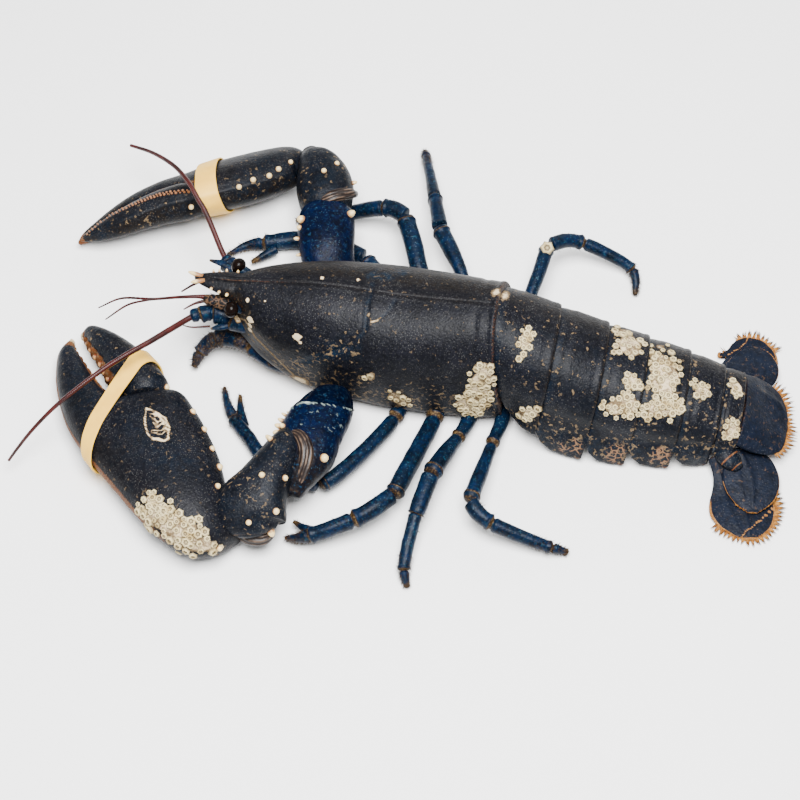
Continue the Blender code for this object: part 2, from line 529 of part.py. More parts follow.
def smooth(rows, per_gap):
    """Rows read along a Catmull-Rom curve that passes through all of them."""
    rows = np.asarray(rows, float)
    padded = np.vstack([2 * rows[0] - rows[1], rows, 2 * rows[-1] - rows[-2]])
    steps = np.arange(per_gap)[:, None] / per_gap
    spans = []
    for before, start, end, after in zip(padded, padded[1:], padded[2:], padded[3:]):
        bend = 2 * before - 5 * start + 4 * end - after
        twist = 3 * start - before - 3 * end + after
        spans.append(start + 0.5 * ((end - before) * steps + bend * steps**2 + twist * steps**3))
    return np.vstack([*spans, rows[-1:]])


def skin(rings, push=0.0, hubs=None):
    """Points and faces of a tube through the rings, each end closed by a fan round a hub.

    The hubs are given, or are the end rings' middles moved outwards by push.
    """
    rings = np.asarray(rings)
    count, size = rings.shape[:2]
    middles = rings.mean(axis=1)
    if hubs is None:
        first = middles[0] + push * unit(middles[0] - middles[1])
        last = middles[-1] + push * unit(middles[-1] - middles[-2])
    else:
        first, last = hubs
    points = np.vstack([rings.reshape(-1, 3), first, last])
    faces = []
    for k in range(size):
        after = (k + 1) % size
        for j in range(count - 1):
            low, high = j * size, (j + 1) * size
            faces.append((low + k, low + after, high + after, high + k))
        faces.append((after, k, count * size))
        faces.append(((count - 1) * size + k, (count - 1) * size + after, count * size + 1))
    return points, faces


def limb_rings(rows, sides, per_gap):
    """Elliptical sections square to the line through the stations."""
    rows = np.asarray(rows, float)
    if rows.shape[1] == 5:
        rows = np.hstack([rows, np.zeros((len(rows), 1))])
    rows = smooth(rows, per_gap)
    along = unit(np.gradient(rows[:, :3], axis=0))
    across = unit(np.cross(along, UP))
    above = np.cross(across, along)
    roll = np.radians(rows[:, 5])[:, None]
    wide = (across * np.cos(roll) + above * np.sin(roll)) * np.abs(rows[:, 3:4])
    high = (above * np.cos(roll) - across * np.sin(roll)) * np.abs(rows[:, 4:5])
    turn = np.arange(sides) * 2 * math.pi / sides + math.pi / sides
    return (
        rows[:, None, :3]
        + wide[:, None] * np.cos(turn)[None, :, None]
        + high[:, None] * np.sin(turn)[None, :, None]
    )


def limb(name, rows, finish, sides=10, per_gap=2, push=0.6):
    """A jointed piece of elliptical section."""
    points, faces = skin(limb_rings(rows, sides, per_gap), push)
    return solid(name, points, faces, finish)


def plate(name, rows, finish, sides=14, per_gap=2, push=0.4):
    """A claw's palm or finger, spanned between its outer and its inner edge."""
    rows = smooth(rows, per_gap)
    outer = np.column_stack([rows[:, 0:2], rows[:, 4]])
    inner = np.column_stack([rows[:, 2:4], rows[:, 4]])
    centre, wide = (outer + inner) / 2, (outer - inner) / 2
    high = np.outer(rows[:, 5], UP)
    turn = np.arange(sides) * 2 * math.pi / sides
    rings = (
        centre[:, None]
        + wide[:, None] * np.cos(turn)[None, :, None]
        + high[:, None] * np.sin(turn)[None, :, None]
    )
    points, faces = skin(rings, push)
    return solid(name, points, faces, finish)


def evaluated(target, modifiers):
    """Bakes the target's modifiers into its mesh."""
    bpy.context.view_layer.update()
    graph = bpy.context.evaluated_depsgraph_get()
    baked = bpy.data.meshes.new_from_object(target.evaluated_get(graph))
    for modifier in modifiers:
        target.modifiers.remove(modifier)
    target.data = baked


def drop_scraps(target):
    """Keeps the largest of the mesh's separate bodies."""
    shape = bmesh.new()
    shape.from_mesh(target.data)
    bmesh.ops.remove_doubles(shape, verts=shape.verts, dist=WELD * MM)
    bmesh.ops.dissolve_degenerate(shape, edges=shape.edges, dist=WELD * MM)
    bmesh.ops.triangulate(shape, faces=shape.faces)
    unseen = set(shape.faces)
    bodies = []
    while unseen:
        body, edge = set(), [unseen.pop()]
        while edge:
            face = edge.pop()
            body.add(face)
            for side in face.edges:
                for other in side.link_faces:
                    if other in unseen:
                        unseen.remove(other)
                        edge.append(other)
        bodies.append(body)
    largest = max(bodies, key=lambda body: sum(face.calc_area() for face in body))
    scraps = [face for body in bodies if body is not largest for face in body]
    bmesh.ops.delete(shape, geom=scraps, context="FACES")
    shape.to_mesh(target.data)
    shape.free()


def join(target, others, solver="EXACT"):
    """Fuses the others into the target with one Boolean union, and removes them."""
    group = bpy.data.collections.new(target.name + "_joined")
    bpy.context.scene.collection.children.link(group)
    for item in others:
        bpy.context.scene.collection.objects.unlink(item)
        group.objects.link(item)
    union = target.modifiers.new("join", "BOOLEAN")
    union.operation = "UNION"
    union.operand_type = "COLLECTION"
    union.collection = group
    union.solver = solver
    evaluated(target, [union])
    for item in others:
        bpy.data.objects.remove(item, do_unlink=True)
    bpy.data.collections.remove(group)
    drop_scraps(target)


def carve(target, neighbour, grown=GROWN):
    """Cuts the neighbour, grown along its normals, out of the target, so that a gap stays between."""
    cutter = neighbour.copy()
    cutter.data = neighbour.data.copy()
    cutter.name = "cutter"
    bpy.context.scene.collection.objects.link(cutter)
    shape = bmesh.new()
    shape.from_mesh(cutter.data)
    shape.normal_update()
    for vertex in shape.verts:
        vertex.co += vertex.normal * grown * MM
    shape.to_mesh(cutter.data)
    shape.free()
    cutter.hide_render = True
    cutter.display_type = "WIRE"
    cut = target.modifiers.new("cut", "BOOLEAN")
    cut.operation = "DIFFERENCE"
    cut.object = cutter
    cut.solver = "EXACT"
    evaluated(target, [cut])
    bpy.data.objects.remove(cutter, do_unlink=True)
    drop_scraps(target)


def arch(middle, half, wide_z, ridge, low_half, low, rim, belly):
    """y and z round a shell section: up one side, over the back, down the other, back underneath."""
    turn = np.linspace(0.0, math.pi, 13)
    over = np.column_stack([half * np.cos(turn), wide_z + (ridge - wide_z) * np.sin(turn) ** 0.94])
    flank = np.array([[low_half, low], [(half + low_half) / 2 + 0.3, (low + wide_z) / 2]])
    inside = np.array([[low_half - rim, low + 0.6], [low_half - 1.6 * rim, belly]])
    under = np.array([[0.0, belly - 0.2]])
    left = np.array([-1.0, 1.0])
    loop = np.vstack([flank, over, flank[::-1] * left, inside * left, under, inside[::-1]])
    return loop + np.array([middle, 0.0])


def carapace():
    """The shield of the head and thorax with its rostrum."""
    rings = []
    for x, half, wide_z, ridge, low_half, low in smooth(CARAPACE_STATIONS, 2):
        room = ridge - low
        rim = min(CARAPACE_RIM, 0.25 * low_half)
        belly = max(low + min(3.0, 0.1 * room), min(CARAPACE_BELLY, low + 0.5 * room))
        loop = arch(0.0, half, wide_z, ridge, low_half, low, rim, belly)
        lean = REAR_LEAN * np.clip(x / CARAPACE_REAR, 0.0, 1.0) ** 2
        rings.append(np.column_stack([x + lean * (ridge - loop[:, 1]), loop]))
    points, faces = skin(rings)
    return solid("carapace", points, faces, "shell")


def sternum():
    """The underside of the thorax, with the flat face that the animal rests on."""
    rings = []
    for x, half, low, high in STERNUM_STATIONS:
        soft = 0.3 * (high - low)
        loop = np.array([
            (-half + soft, low), (half - soft, low), (half, low + soft), (half, high - soft),
            (half - soft, high), (-half + soft, high), (-half, high - soft), (-half, low + soft),
        ])
        rings.append(np.column_stack([np.full(len(loop), x), loop]))
    points, faces = skin(rings)
    return solid("sternum", points, faces, "belly")


def abdomen_segment(number):
    """One ring of the tail: an arched back plate and a side flap on each side."""
    rear = SEGMENT_REARS[number]
    front = (SEGMENT_REARS[number - 1] if number else CARAPACE_REAR + 0.2) + GAP + 0.08
    table = np.array(ABDOMEN_STATIONS)
    rings, hubs = [], []
    for share, step, lift in SEGMENT_RINGS:
        x = front + (rear - front) * share
        middle, half, wide_z, ridge, span = (np.interp(x, table[:, 0], table[:, k]) for k in range(1, 6))
        inset = SEGMENT_STEP * step
        tip = min(FLAP_TIPS[number] + lift, wide_z - FLAP_ROOM)
        loop = arch(middle, half - inset, wide_z, ridge - inset, span - inset, tip, FLAP_THICKNESS,
                    max(ABDOMEN_BELLY, tip + 1.5))
        lean = ABDOMEN_LEAN
        if number == 0:
            lean = ABDOMEN_LEAN * share - REAR_LEAN * (1.0 - share)
        rings.append(np.column_stack([x + lean * (loop[:, 1] - ridge), loop]))
        hubs.append((x + lean * (wide_z - ridge), middle, wide_z))
    points, faces = skin(rings, hubs=(hubs[0], hubs[-1]))
    return solid(f"abdomen_{number + 1}", points, faces, "shell")


def mirrored(rows):
    """The same stations on the animal's other side."""
    return [(row[0], -row[1], *row[2:]) for row in rows]


def hull(points):
    """Outline of the convex hull of points in a plane, turning left."""
    ordered = sorted(map(tuple, points))

    def chain(run):
        kept = []
        for point in run:
            while len(kept) > 1 and np.cross(np.subtract(kept[-1], kept[-2]), np.subtract(point, kept[-1])) <= 0:
                kept.pop()
            kept.append(point)
        return kept[:-1]

    return np.array(chain(ordered) + chain(ordered[::-1]))


def section(piece, origin, axis, offset):
    """Points where the plane across the axis, offset along it, meets the piece's edges."""
    points = np.array([v.co for v in piece.data.vertices]) / MM
    ends = np.array([e.vertices for e in piece.data.edges])
    depth = (points - origin) @ axis - offset
    near, far = depth[ends[:, 0]], depth[ends[:, 1]]
    across = near * far < 0
    share = (near[across] / (near[across] - far[across]))[:, None]
    return points[ends[across, 0]] * (1 - share) + points[ends[across, 1]] * share


def band(name, around, count=32):
    """A stretched rubber band: the hull of what it goes round, a little outside it."""
    origin, axis, width = BANDS[name]
    origin = np.array(origin)
    axis = unit(np.array(axis))
    across = unit(np.cross(UP, axis))
    above = np.cross(axis, across)
    slices = np.linspace(-0.5, 0.5, 5) * width
    met = [np.vstack([section(piece, origin, axis, offset) for piece in around]) for offset in slices]
    flat = [np.column_stack([(points - origin) @ across, (points - origin) @ above]) for points in met]
    lowest, highest = np.vstack(flat).min(axis=0), np.vstack(flat).max(axis=0)
    middle, spread = (lowest + highest) / 2, (highest - lowest) / 2
    turn = np.arange(count) * 2 * math.pi / count
    rays = unit(np.column_stack([spread[0] * np.cos(turn), spread[1] * np.sin(turn)]))
    radii = []
    for points in flat:
        outline = hull(points - middle)
        following = np.roll(outline, -1, axis=0)
        edge = following - outline
        normal = unit(np.column_stack([edge[:, 1], -edge[:, 0]]))
        reach = (outline * normal).sum(axis=1) + BAND_SLACK
        facing = rays @ normal.T
        radii.append(np.where(facing > 1e-6, reach / np.maximum(facing, 1e-6), 1e9).min(axis=1))
    radii = np.array(radii)
    share = np.linspace(0.0, 1.0, len(slices))[:, None]
    bulge = (radii - (radii[0] * (1.0 - share) + radii[-1] * share)).max(axis=0)
    rings = []
    for side, wall in ((0, 0.0), (0, 1.0), (-1, 1.0), (-1, 0.0)):
        reach = (radii[side] + bulge + wall * BAND_THICKNESS)[:, None]
        spot = middle + reach * rays
        rings.append(origin + axis * slices[side] + spot[:, :1] * across + spot[:, 1:] * above)
    loops = np.array(rings)
    faces = []
    for j in range(4):
        for k in range(count):
            after = (k + 1) % count
            following = (j + 1) % 4
            faces.append((j * count + k, j * count + after, following * count + after, following * count + k))
    return solid(name, loops.reshape(-1, 3), faces, "rubber")


def studs(target, shapes):
    """Fuses small turned lumps to the target where their spots, seen from the shown side, meet it."""
    shape = bmesh.new()
    shape.from_mesh(target.data)
    tree = BVHTree.FromBMesh(shape)
    shape.free()
    direction = unit(SHOWN_SIDE)
    made = []
    for spot, profile, hub, sides in shapes:
        start = (np.array(spot) + DROP * direction) * MM
        place, normal, _, _ = tree.ray_cast(Vector(start), Vector(-direction))
        if place is None or place.z < LUMP_LOWEST * MM:
            continue
        place, normal = np.array(place) / MM, np.array(normal)
        across = unit(np.cross(normal, UP + 0.3 * SHOWN_SIDE))
        above = np.cross(normal, across)
        turn = np.arange(sides) * 2 * math.pi / sides
        rings = [
            place + level * normal + radius * (np.outer(np.cos(turn), across) + np.outer(np.sin(turn), above))
            for radius, level in profile
        ]
        points, faces = skin(rings, hubs=(rings[0].mean(axis=0), place + hub * normal))
        made.append(solid("stud", points, faces, "knob"))
    join(target, made, "MANIFOLD")


def knobs_on(target):
    """Rounded knobs and short spines."""
    narrow, level = KNOB_SHOULDER
    studs(target, [
        ((x, y, z), [(radius, -LUMP_SUNK), (narrow * radius, level * height)], height, LUMP_SIDES)
        for x, y, z, radius, height in KNOBS[target.name]
    ])


def barnacles_on(target):
    """Cups of barnacle set on a jittered triangular grid inside each cluster's ellipse."""
    draw = np.random.default_rng(BARNACLE_SEED)
    direction = unit(SHOWN_SIDE)
    right = unit(np.cross(UP, SHOWN_SIDE))
    above = unit(np.cross(SHOWN_SIDE, right))
    shapes = []
    for node, middle, length, width, turn in CLUSTERS:
        if node != target.name:
            continue
        along = np.array([math.cos(math.radians(turn)), math.sin(math.radians(turn))])
        reach = int(length / BARNACLE_SPACING) + 2
        for row in range(-reach, reach + 1):
            for column in range(-reach, reach + 1):
                step = np.array([column + 0.5 * (row % 2), row * math.sqrt(0.75)]) * BARNACLE_SPACING
                step = step + draw.uniform(-BARNACLE_STRAY, BARNACLE_STRAY, 2)
                size = draw.uniform(*BARNACLE_SIZES)
                if (step[0] / (length + CLUSTER_EDGE)) ** 2 + (step[1] / (width + CLUSTER_EDGE)) ** 2 > 1.0:
                    continue
                flat = step[0] * along + step[1] * np.array([-along[1], along[0]])
                spot = np.array(middle) + flat[0] * right + flat[1] * above
                offsets = [np.cross(spot - other, direction) for other, *_ in shapes]
                if offsets and np.linalg.norm(offsets, axis=1).min() < BARNACLE_CLOSEST:
                    continue
                radius = size * BARNACLE_RADIUS
                profile = [(radius, -LUMP_SUNK), (BARNACLE_RIM * radius, size * BARNACLE_HEIGHT)]
                shapes.append((spot, profile, BARNACLE_MOUTH * BARNACLE_HEIGHT, LUMP_SIDES))
    studs(target, shapes)


def dress_with_lumps():
    """Knobs and barnacles on the pieces that carry them."""
    for name in KNOBS:
        knobs_on(bpy.data.objects[name])
    for name in sorted({cluster[0] for cluster in CLUSTERS}):
        barnacles_on(bpy.data.objects[name])


def build_body():
    """Carapace, underside and tail."""
    shield = carapace()
    sternum()
    segments = [abdomen_segment(number) for number in range(len(SEGMENT_REARS))]
    telson = limb("telson", TELSON_STATIONS, "fan", sides=16, per_gap=1)
    carve(telson, segments[-1])
    leaves = {name: limb(name, rows, "fan", sides=8, per_gap=1) for name, rows in LEAVES.items()}
    for name, leaf in leaves.items():
        carve(leaf, segments[-1])
        carve(leaf, segments[-2])
        carve(leaf, telson)
        if name.endswith("outer"):
            carve(leaf, leaves[name.replace("outer", "inner")])
    return shield


def build_head(shield):
    """Eyes, feelers and jaw legs."""
    for name, rows in EYES.items():
        carve(limb(name, rows, "eye", sides=9, per_gap=1, push=1.2), shield)
    bases = {}
    for name, rows in ANTENNA_BASES.items():
        bases[name] = limb(name, rows, "limb", sides=9, per_gap=1)
        join(bases[name], [limb("blade", ANTENNA_BLADES[name], "limb", sides=5, per_gap=1)])
        carve(bases[name], shield)
    for name, rows in ANTENNAE.items():
        carve(limb(name, rows, "feeler", sides=5, per_gap=1), bases[name.replace("antenna", "antenna_base")])
    for name, strands in ANTENNULES.items():
        main, *others = [limb(name, rows, "feeler", sides=5, per_gap=1) for rows in strands]
        if others:
            join(main, others)
        carve(main, shield)
        for base in bases.values():
            carve(main, base)
    for name, rows in (("jaw_leg_left", JAW_LEG), ("jaw_leg_right", mirrored(JAW_LEG))):
        leg = limb(name, rows, "limb", sides=7, per_gap=1)
        carve(leg, shield)
        carve(leg, bpy.data.objects["sternum"])


def build_claws(shield):
    """Both claws, each with its three arm pieces, its finger and its band."""
    core = bpy.data.objects["sternum"]
    palm = plate("crusher_palm", CRUSHER_PALM, "shell", per_gap=1)
    finger = plate("crusher_finger", CRUSHER_FINGER, "shell", sides=12, per_gap=1)
    carpus = limb("crusher_carpus", CRUSHER_CARPUS, "shell", sides=12)
    merus = limb("crusher_merus", CRUSHER_MERUS, "limb", sides=12, per_gap=1)
    carve(palm, carpus)
    carve(finger, palm)
    carve(merus, carpus)
    carve(merus, shield)
    carve(merus, core)
    band("band_left", [palm, finger])
    palm = limb("cutter_palm", CUTTER_PALM, "shell", sides=12, per_gap=1)
    finger = limb("cutter_finger", CUTTER_FINGER, "shell", sides=12, per_gap=1)
    carpus = limb("cutter_carpus", CUTTER_CARPUS, "shell", sides=12)
    merus = limb("cutter_merus", CUTTER_MERUS, "limb", sides=12, per_gap=1)
    carve(palm, carpus)
    carve(finger, palm)
    carve(merus, carpus)
    carve(merus, shield)
    carve(merus, core)
    band("band_right", [palm, finger])


def build_legs(shield):
    """Eight walking legs, each in two pieces that meet at the knee."""
    core = bpy.data.objects["sternum"]
    for name, rows in LEG_UPPERS.items():
        upper = limb(f"{name}_upper", rows, "limb", sides=7, per_gap=1)
        carve(upper, shield)
        carve(upper, core)
        lower = limb(f"{name}_lower", LEG_LOWERS[name], "limb", sides=7, per_gap=1)
        if name in LEG_THUMBS:
            join(lower, [limb("thumb", LEG_THUMBS[name], "limb", sides=5, per_gap=1)])
        carve(lower, upper)


def main():
    """Builds the whole animal."""
    clear_scene()
    shield = build_body()
    build_head(shield)
    build_claws(shield)
    build_legs(shield)
    dress_with_lumps()


main()
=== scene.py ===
"""Looks of a whole raw blue lobster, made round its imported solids.

+X runs from the head to the tail along the carapace, +Y to the animal's right side, +Z up.
Lengths are millimetres unless a name says otherwise; meshes are written in metres.
A station is one cross-section of a piece, as each table's comment says.
"""

import logging
import math
from dataclasses import dataclass, field
from enum import Enum
from typing import Sequence

import bpy
import numpy as np
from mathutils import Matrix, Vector
from mathutils.bvhtree import BVHTree


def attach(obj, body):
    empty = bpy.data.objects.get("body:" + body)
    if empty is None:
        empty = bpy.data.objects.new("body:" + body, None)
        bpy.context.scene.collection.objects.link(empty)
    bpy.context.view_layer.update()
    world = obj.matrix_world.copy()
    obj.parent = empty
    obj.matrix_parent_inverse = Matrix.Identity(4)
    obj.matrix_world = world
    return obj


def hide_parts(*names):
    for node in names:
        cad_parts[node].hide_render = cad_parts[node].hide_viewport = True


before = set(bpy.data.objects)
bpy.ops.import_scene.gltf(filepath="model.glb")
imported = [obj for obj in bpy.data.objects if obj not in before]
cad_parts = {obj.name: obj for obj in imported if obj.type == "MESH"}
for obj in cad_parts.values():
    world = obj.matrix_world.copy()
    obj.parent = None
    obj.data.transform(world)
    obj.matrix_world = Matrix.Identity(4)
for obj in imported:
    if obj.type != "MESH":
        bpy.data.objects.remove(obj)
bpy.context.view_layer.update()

log = logging.getLogger("lobster")

Array = np.ndarray
Rows = Sequence[Sequence[float]]
Colour = tuple[float, float, float]

MM = 0.001
UP = np.array([0.0, 0.0, 1.0])
SHOWN_SIDE = np.array([0.1, -0.55, 0.83])
BODY = "root"
# How far above a spot the line starts that looks for the surface
THROW = 60.0
# Distance from a drawn line that points of the far side are given
UNSEEN = 99.0


class Side(Enum):
    """Side of the animal: its sign is that of Y."""

    LEFT = -1
    RIGHT = 1

    @property
    def word(self) -> str:
        """The side's name as the nodes spell it."""
        return self.name.lower()


# Curves, fields and noise


def unit(rows: Array) -> Array:
    """Each row divided by its length."""
    rows = np.asarray(rows, float)
    return rows / np.maximum(np.linalg.norm(rows, axis=-1, keepdims=True), 1e-9)


def powered(value: Array, power: float) -> Array:
    """Each value raised to the power, its sign kept, as a superellipse needs."""
    return np.sign(value) * np.abs(value) ** power


def circle(count: int) -> Array:
    """Angles spread evenly over one turn."""
    return np.arange(count) * 2 * math.pi / count


def travelled(line: Array) -> Array:
    """Distance along a polyline to each of its points."""
    steps = np.linalg.norm(np.diff(line, axis=0), axis=1)
    return np.concatenate([[0.0], np.cumsum(steps)])


def cubic(before: Array, start: Array, end: Array, after: Array, share: Array) -> Array:
    """The Catmull-Rom curve between start and end, read at share of the way.

    Args:
        before: the station before the stretch.
        start: the stretch's first station.
        end: its last station.
        after: the station after it.
        share: how far along the stretch to read, from 0 to 1.

    Returns:
        The places on the curve.
    """
    bend = 2 * before - 5 * start + 4 * end - after
    twist = 3 * start - before - 3 * end + after
    return start + 0.5 * share * ((end - before) + share * (bend + share * twist))


def spline(rows: Rows, count: int) -> Array:
    """Rows read along the Catmull-Rom curve that passes through all of them.

    Args:
        rows: the stations.
        count: how many rows to return, spread evenly over the stations.

    Returns:
        The new rows: in each gap, a cubic blend of the four nearest stations.
    """
    rows = np.asarray(rows, float)
    padded = np.concatenate([[2 * rows[0] - rows[1]], rows, [2 * rows[-1] - rows[-2]]])
    place = np.linspace(0, len(rows) - 1, count)
    span = np.minimum(place.astype(int), len(rows) - 2)
    share = (place - span).reshape(-1, *[1] * (rows.ndim - 1))
    return cubic(*(padded[span + k] for k in range(4)), share)


def ring_spline(rings: Array, per_gap: int) -> Array:
    """Closed rings read along closed Catmull-Rom curves, per_gap points to each gap.

    Args:
        rings: closed rings of points.
        per_gap: points read in each gap.

    Returns:
        The finer rings.
    """
    size = rings.shape[1]
    place = np.arange(size * per_gap) / per_gap
    span = place.astype(int)
    share = (place - span)[None, :, None]
    return cubic(*(rings[:, (span + k) % size] for k in (-1, 0, 1, 2)), share)


def ease(low: float, high: float, value: Array) -> Array:
    """Smooth step from 0 at low to 1 at high."""
    share = np.clip((np.asarray(value, float) - low) / (high - low), 0.0, 1.0)
    return share * share * (3.0 - 2.0 * share)


def hill(value: Array, middle: float, width: float) -> Array:
    """Bell curve of height 1 about the middle."""
    return np.exp(-(((np.asarray(value, float) - middle) / width) ** 2))


def noise(points: Array, size: float, seed: int = 0) -> Array:
    """Smooth value noise from -1 to 1: random numbers on a cubic lattice, blended between its corners.

    Args:
        points: places in millimetres.
        size: size of the lattice's cells, in millimetres.
        seed: which of the noises.

    Returns:
        One number for each point.
    """
    place = np.asarray(points, float) / size + 1000.0 + 17.3 * seed
    cell = np.floor(place).astype(np.int64)
    share = place - cell
    share = share * share * (3.0 - 2.0 * share)
    total = np.zeros(place.shape[:-1])
    for corner in range(8):
        step = np.array([corner & 1, corner >> 1 & 1, corner >> 2 & 1])
        weight = np.where(step == 1, share, 1.0 - share).prod(axis=-1)
        x, y, z = np.moveaxis(cell + step, -1, 0)
        mixed = (x * 73856093 ^ y * 19349663 ^ z * 83492791 ^ seed * 2654435761) & 0xFFFFFF
        mixed = (mixed * 1103515245 + 12345) & 0x7FFFFFFF
        total += weight * ((mixed >> 8) % 4096 / 2047.5 - 1.0)
    return total


def off_line(points: Array, line: Rows) -> Array:
    """Distance of each point from the nearest stretch of a polyline.

    Args:
        points: places in millimetres.
        line: corners of the polyline.

    Returns:
        The distances, in millimetres.
    """
    line = np.asarray(line, float)
    nearest = np.full(points.shape[:-1], np.inf)
    for start, end in zip(line, line[1:]):
        along = end - start
        share = np.clip(((points - start) @ along) / (along @ along), 0.0, 1.0)
        nearest = np.minimum(nearest, np.linalg.norm(points - start - share[..., None] * along, axis=-1))
    return nearest


# Shader graphs


class Sock:
    """A shader value that Python operators turn into Math nodes."""

    def __init__(self, graph: "Graph", socket: bpy.types.NodeSocket) -> None:
        """Wraps one output socket of the graph."""
        self.graph = graph
        self.socket = socket

    def __add__(self, other: "Value") -> "Sock":
        """Sum."""
        return self.graph.maths("ADD", self, other)

    def __radd__(self, other: float) -> "Sock":
        """Sum, reflected."""
        return self.graph.maths("ADD", other, self)

    def __sub__(self, other: "Value") -> "Sock":
        """Difference."""
        return self.graph.maths("SUBTRACT", self, other)

    def __rsub__(self, other: float) -> "Sock":
        """Difference, reflected."""
        return self.graph.maths("SUBTRACT", other, self)

    def __mul__(self, other: "Value") -> "Sock":
        """Product."""
        return self.graph.maths("MULTIPLY", self, other)

    def __rmul__(self, other: float) -> "Sock":
        """Product, reflected."""
        return self.graph.maths("MULTIPLY", other, self)

    def __gt__(self, other: "Value") -> "Sock":
        """1 where it is greater, else 0."""
        return self.graph.maths("GREATER_THAN", self, other)


Value = Sock | float


class Graph:
    """The nodes of one material."""

    def __init__(self, name: str) -> None:
        """Starts an empty material with an output.

        Args:
            name: the material's name.
        """
        self.material = bpy.data.materials.new(name)
        self.material.use_nodes = True
        self.tree = self.material.node_tree
        self.tree.nodes.clear()
        self.output = self.tree.nodes.new("ShaderNodeOutputMaterial")
        self.place = Sock(self, self.tree.nodes.new("ShaderNodeTexCoord").outputs["Object"])

    def node(self, kind: str, settings: dict | None = None, inputs: dict | None = None) -> bpy.types.Node:
        """Adds a node.

        Args:
            kind: the node's type, without the ShaderNode prefix.
            settings: its own properties, set first; a ramp's stops are (position, colour) pairs.
            inputs: values or wrapped sockets, by the input's name or index.

        Returns:
            The new node.
        """
        made = self.tree.nodes.new("ShaderNode" + kind)
        for key, value in (settings or {}).items():
            if key == "stops":
                elements = made.color_ramp.elements
                while len(elements) < len(value):
                    elements.new(0.5)
                for element, (position, colour) in zip(elements, value):
                    element.position = position
                    element.color = (*colour, 1.0)
            else:
                setattr(made, key, value)
        for key, value in (inputs or {}).items():
            if isinstance(value, Sock):
                self.tree.links.new(value.socket, made.inputs[key])
            elif isinstance(value, tuple) and len(made.inputs[key].default_value) == 4:
                made.inputs[key].default_value = (*value, 1.0)
            else:
                made.inputs[key].default_value = value
        return made

    def maths(self, operation: str, *values: Value) -> Sock:
        """A Math node on the values, in their order."""
        made = self.node("Math", {"operation": operation}, dict(enumerate(values)))
        return Sock(self, made.outputs[0])

    def step(self, low: float, high: float, value: Sock) -> Sock:
        """Smooth step of a value from 0 at low to 1 at high.

        Args:
            low: value that gives 0.
            high: value that gives 1.
            value: the value.

        Returns:
            The eased value.
        """
        inputs = {"Value": value, "From Min": low, "From Max": high}
        made = self.node("MapRange", {"interpolation_type": "SMOOTHSTEP"}, inputs)
        return Sock(self, made.outputs["Result"])

    def mix(self, share: Value, first: Sock | Colour, second: Sock | Colour) -> Sock:
        """First colour blended to the second by share.

        Args:
            share: how much of the second colour shows.
            first: colour at 0.
            second: colour at 1.

        Returns:
            The blended colour.
        """
        made = self.node(
            "Mix", {"data_type": "RGBA", "clamp_factor": True}, {"Factor": share, 6: first, 7: second}
        )
        return Sock(self, made.outputs[2])

    def mask(self, name: str) -> Sock:
        """One of the piece's own painted masks; 0 where the piece has none."""
        return Sock(self, self.node("Attribute", {"attribute_name": name}).outputs["Fac"])

    def cloud(self, size: float, detail: float = 3.0, rough: float = 0.55, place: Sock | None = None) -> Sock:
        """Noise of about the given size in millimetres.

        Args:
            size: size of the blotches, in millimetres.
            detail: how many finer layers it has.
            rough: how strong the finer layers are.
            place: coordinates; the object's own if none are given.

        Returns:
            The noise, from 0 to 1.
        """
        inputs = {"Vector": place or self.place, "Scale": 1.0 / (size * MM)}
        inputs.update({"Detail": detail, "Roughness": rough})
        return Sock(self, self.node("TexNoise", None, inputs).outputs["Fac"])

    def warped(self, size: float, amount: float) -> Sock:
        """Object coordinates pushed about by noise of that size, by amount millimetres.

        Args:
            size: size of the noise, in millimetres.
            amount: largest shift, in millimetres.

        Returns:
            The shifted coordinates.
        """
        cloud = self.node("TexNoise", None, {"Vector": self.place, "Scale": 1.0 / (size * MM), "Detail": 2.0})
        shift = self.node(
            "VectorMath",
            {"operation": "MULTIPLY_ADD"},
            {0: Sock(self, cloud.outputs["Color"]), 1: (amount * MM,) * 3, 2: self.place},
        )
        return Sock(self, shift.outputs[0])

    def cells(self, size: float, feature: str = "F1", place: Sock | None = None) -> tuple[Sock, Sock]:
        """Distance in cells and a random number for each cell.

        Args:
            size: size of a cell, in millimetres.
            feature: what is measured in each cell.
            place: coordinates; the object's own if none are given.

        Returns:
            The distance and the random number.
        """
        made = self.node(
            "TexVoronoi", {"feature": feature}, {"Vector": place or self.place, "Scale": 1.0 / (size * MM)}
        )
        if feature == "DISTANCE_TO_EDGE":
            return Sock(self, made.outputs["Distance"]), Sock(self, made.outputs["Distance"])
        parts = self.node("SeparateColor", None, {0: Sock(self, made.outputs["Color"])})
        return Sock(self, made.outputs["Distance"]), Sock(self, parts.outputs[0])

    def relief(self, height: Sock, depth: float, strength: float = 1.0, under: Sock | None = None) -> Sock:
        """Bump of the given depth in millimetres, over another bump if there is one.

        Args:
            height: the height, from 0 to 1.
            depth: its depth, in millimetres.
            strength: how much of it shows.
            under: the bump below, if there is one.

        Returns:
            The bumped normal.
        """
        inputs = {"Height": height, "Distance": depth * MM, "Strength": strength}
        if under:
            inputs["Normal"] = under
        return Sock(self, self.node("Bump", None, inputs).outputs[0])

    def finish(
        self, colour: Sock | Colour, roughness: Value, normal: Sock | None = None, **fixed: float
    ) -> None:
        """The Principled shader that ends the graph.

        Args:
            colour: base colour.
            roughness: roughness.
            normal: the bump, if any.
            fixed: other inputs, by name with underscores for spaces, the same all over.
        """
        inputs = {"Base Color": colour, "Roughness": roughness}
        inputs.update({key.replace("_", " "): value for key, value in fixed.items()})
        if normal:
            inputs["Normal"] = normal
        shader = self.node("BsdfPrincipled", None, inputs)
        self.tree.links.new(shader.outputs[0], self.output.inputs["Surface"])


# Finishes


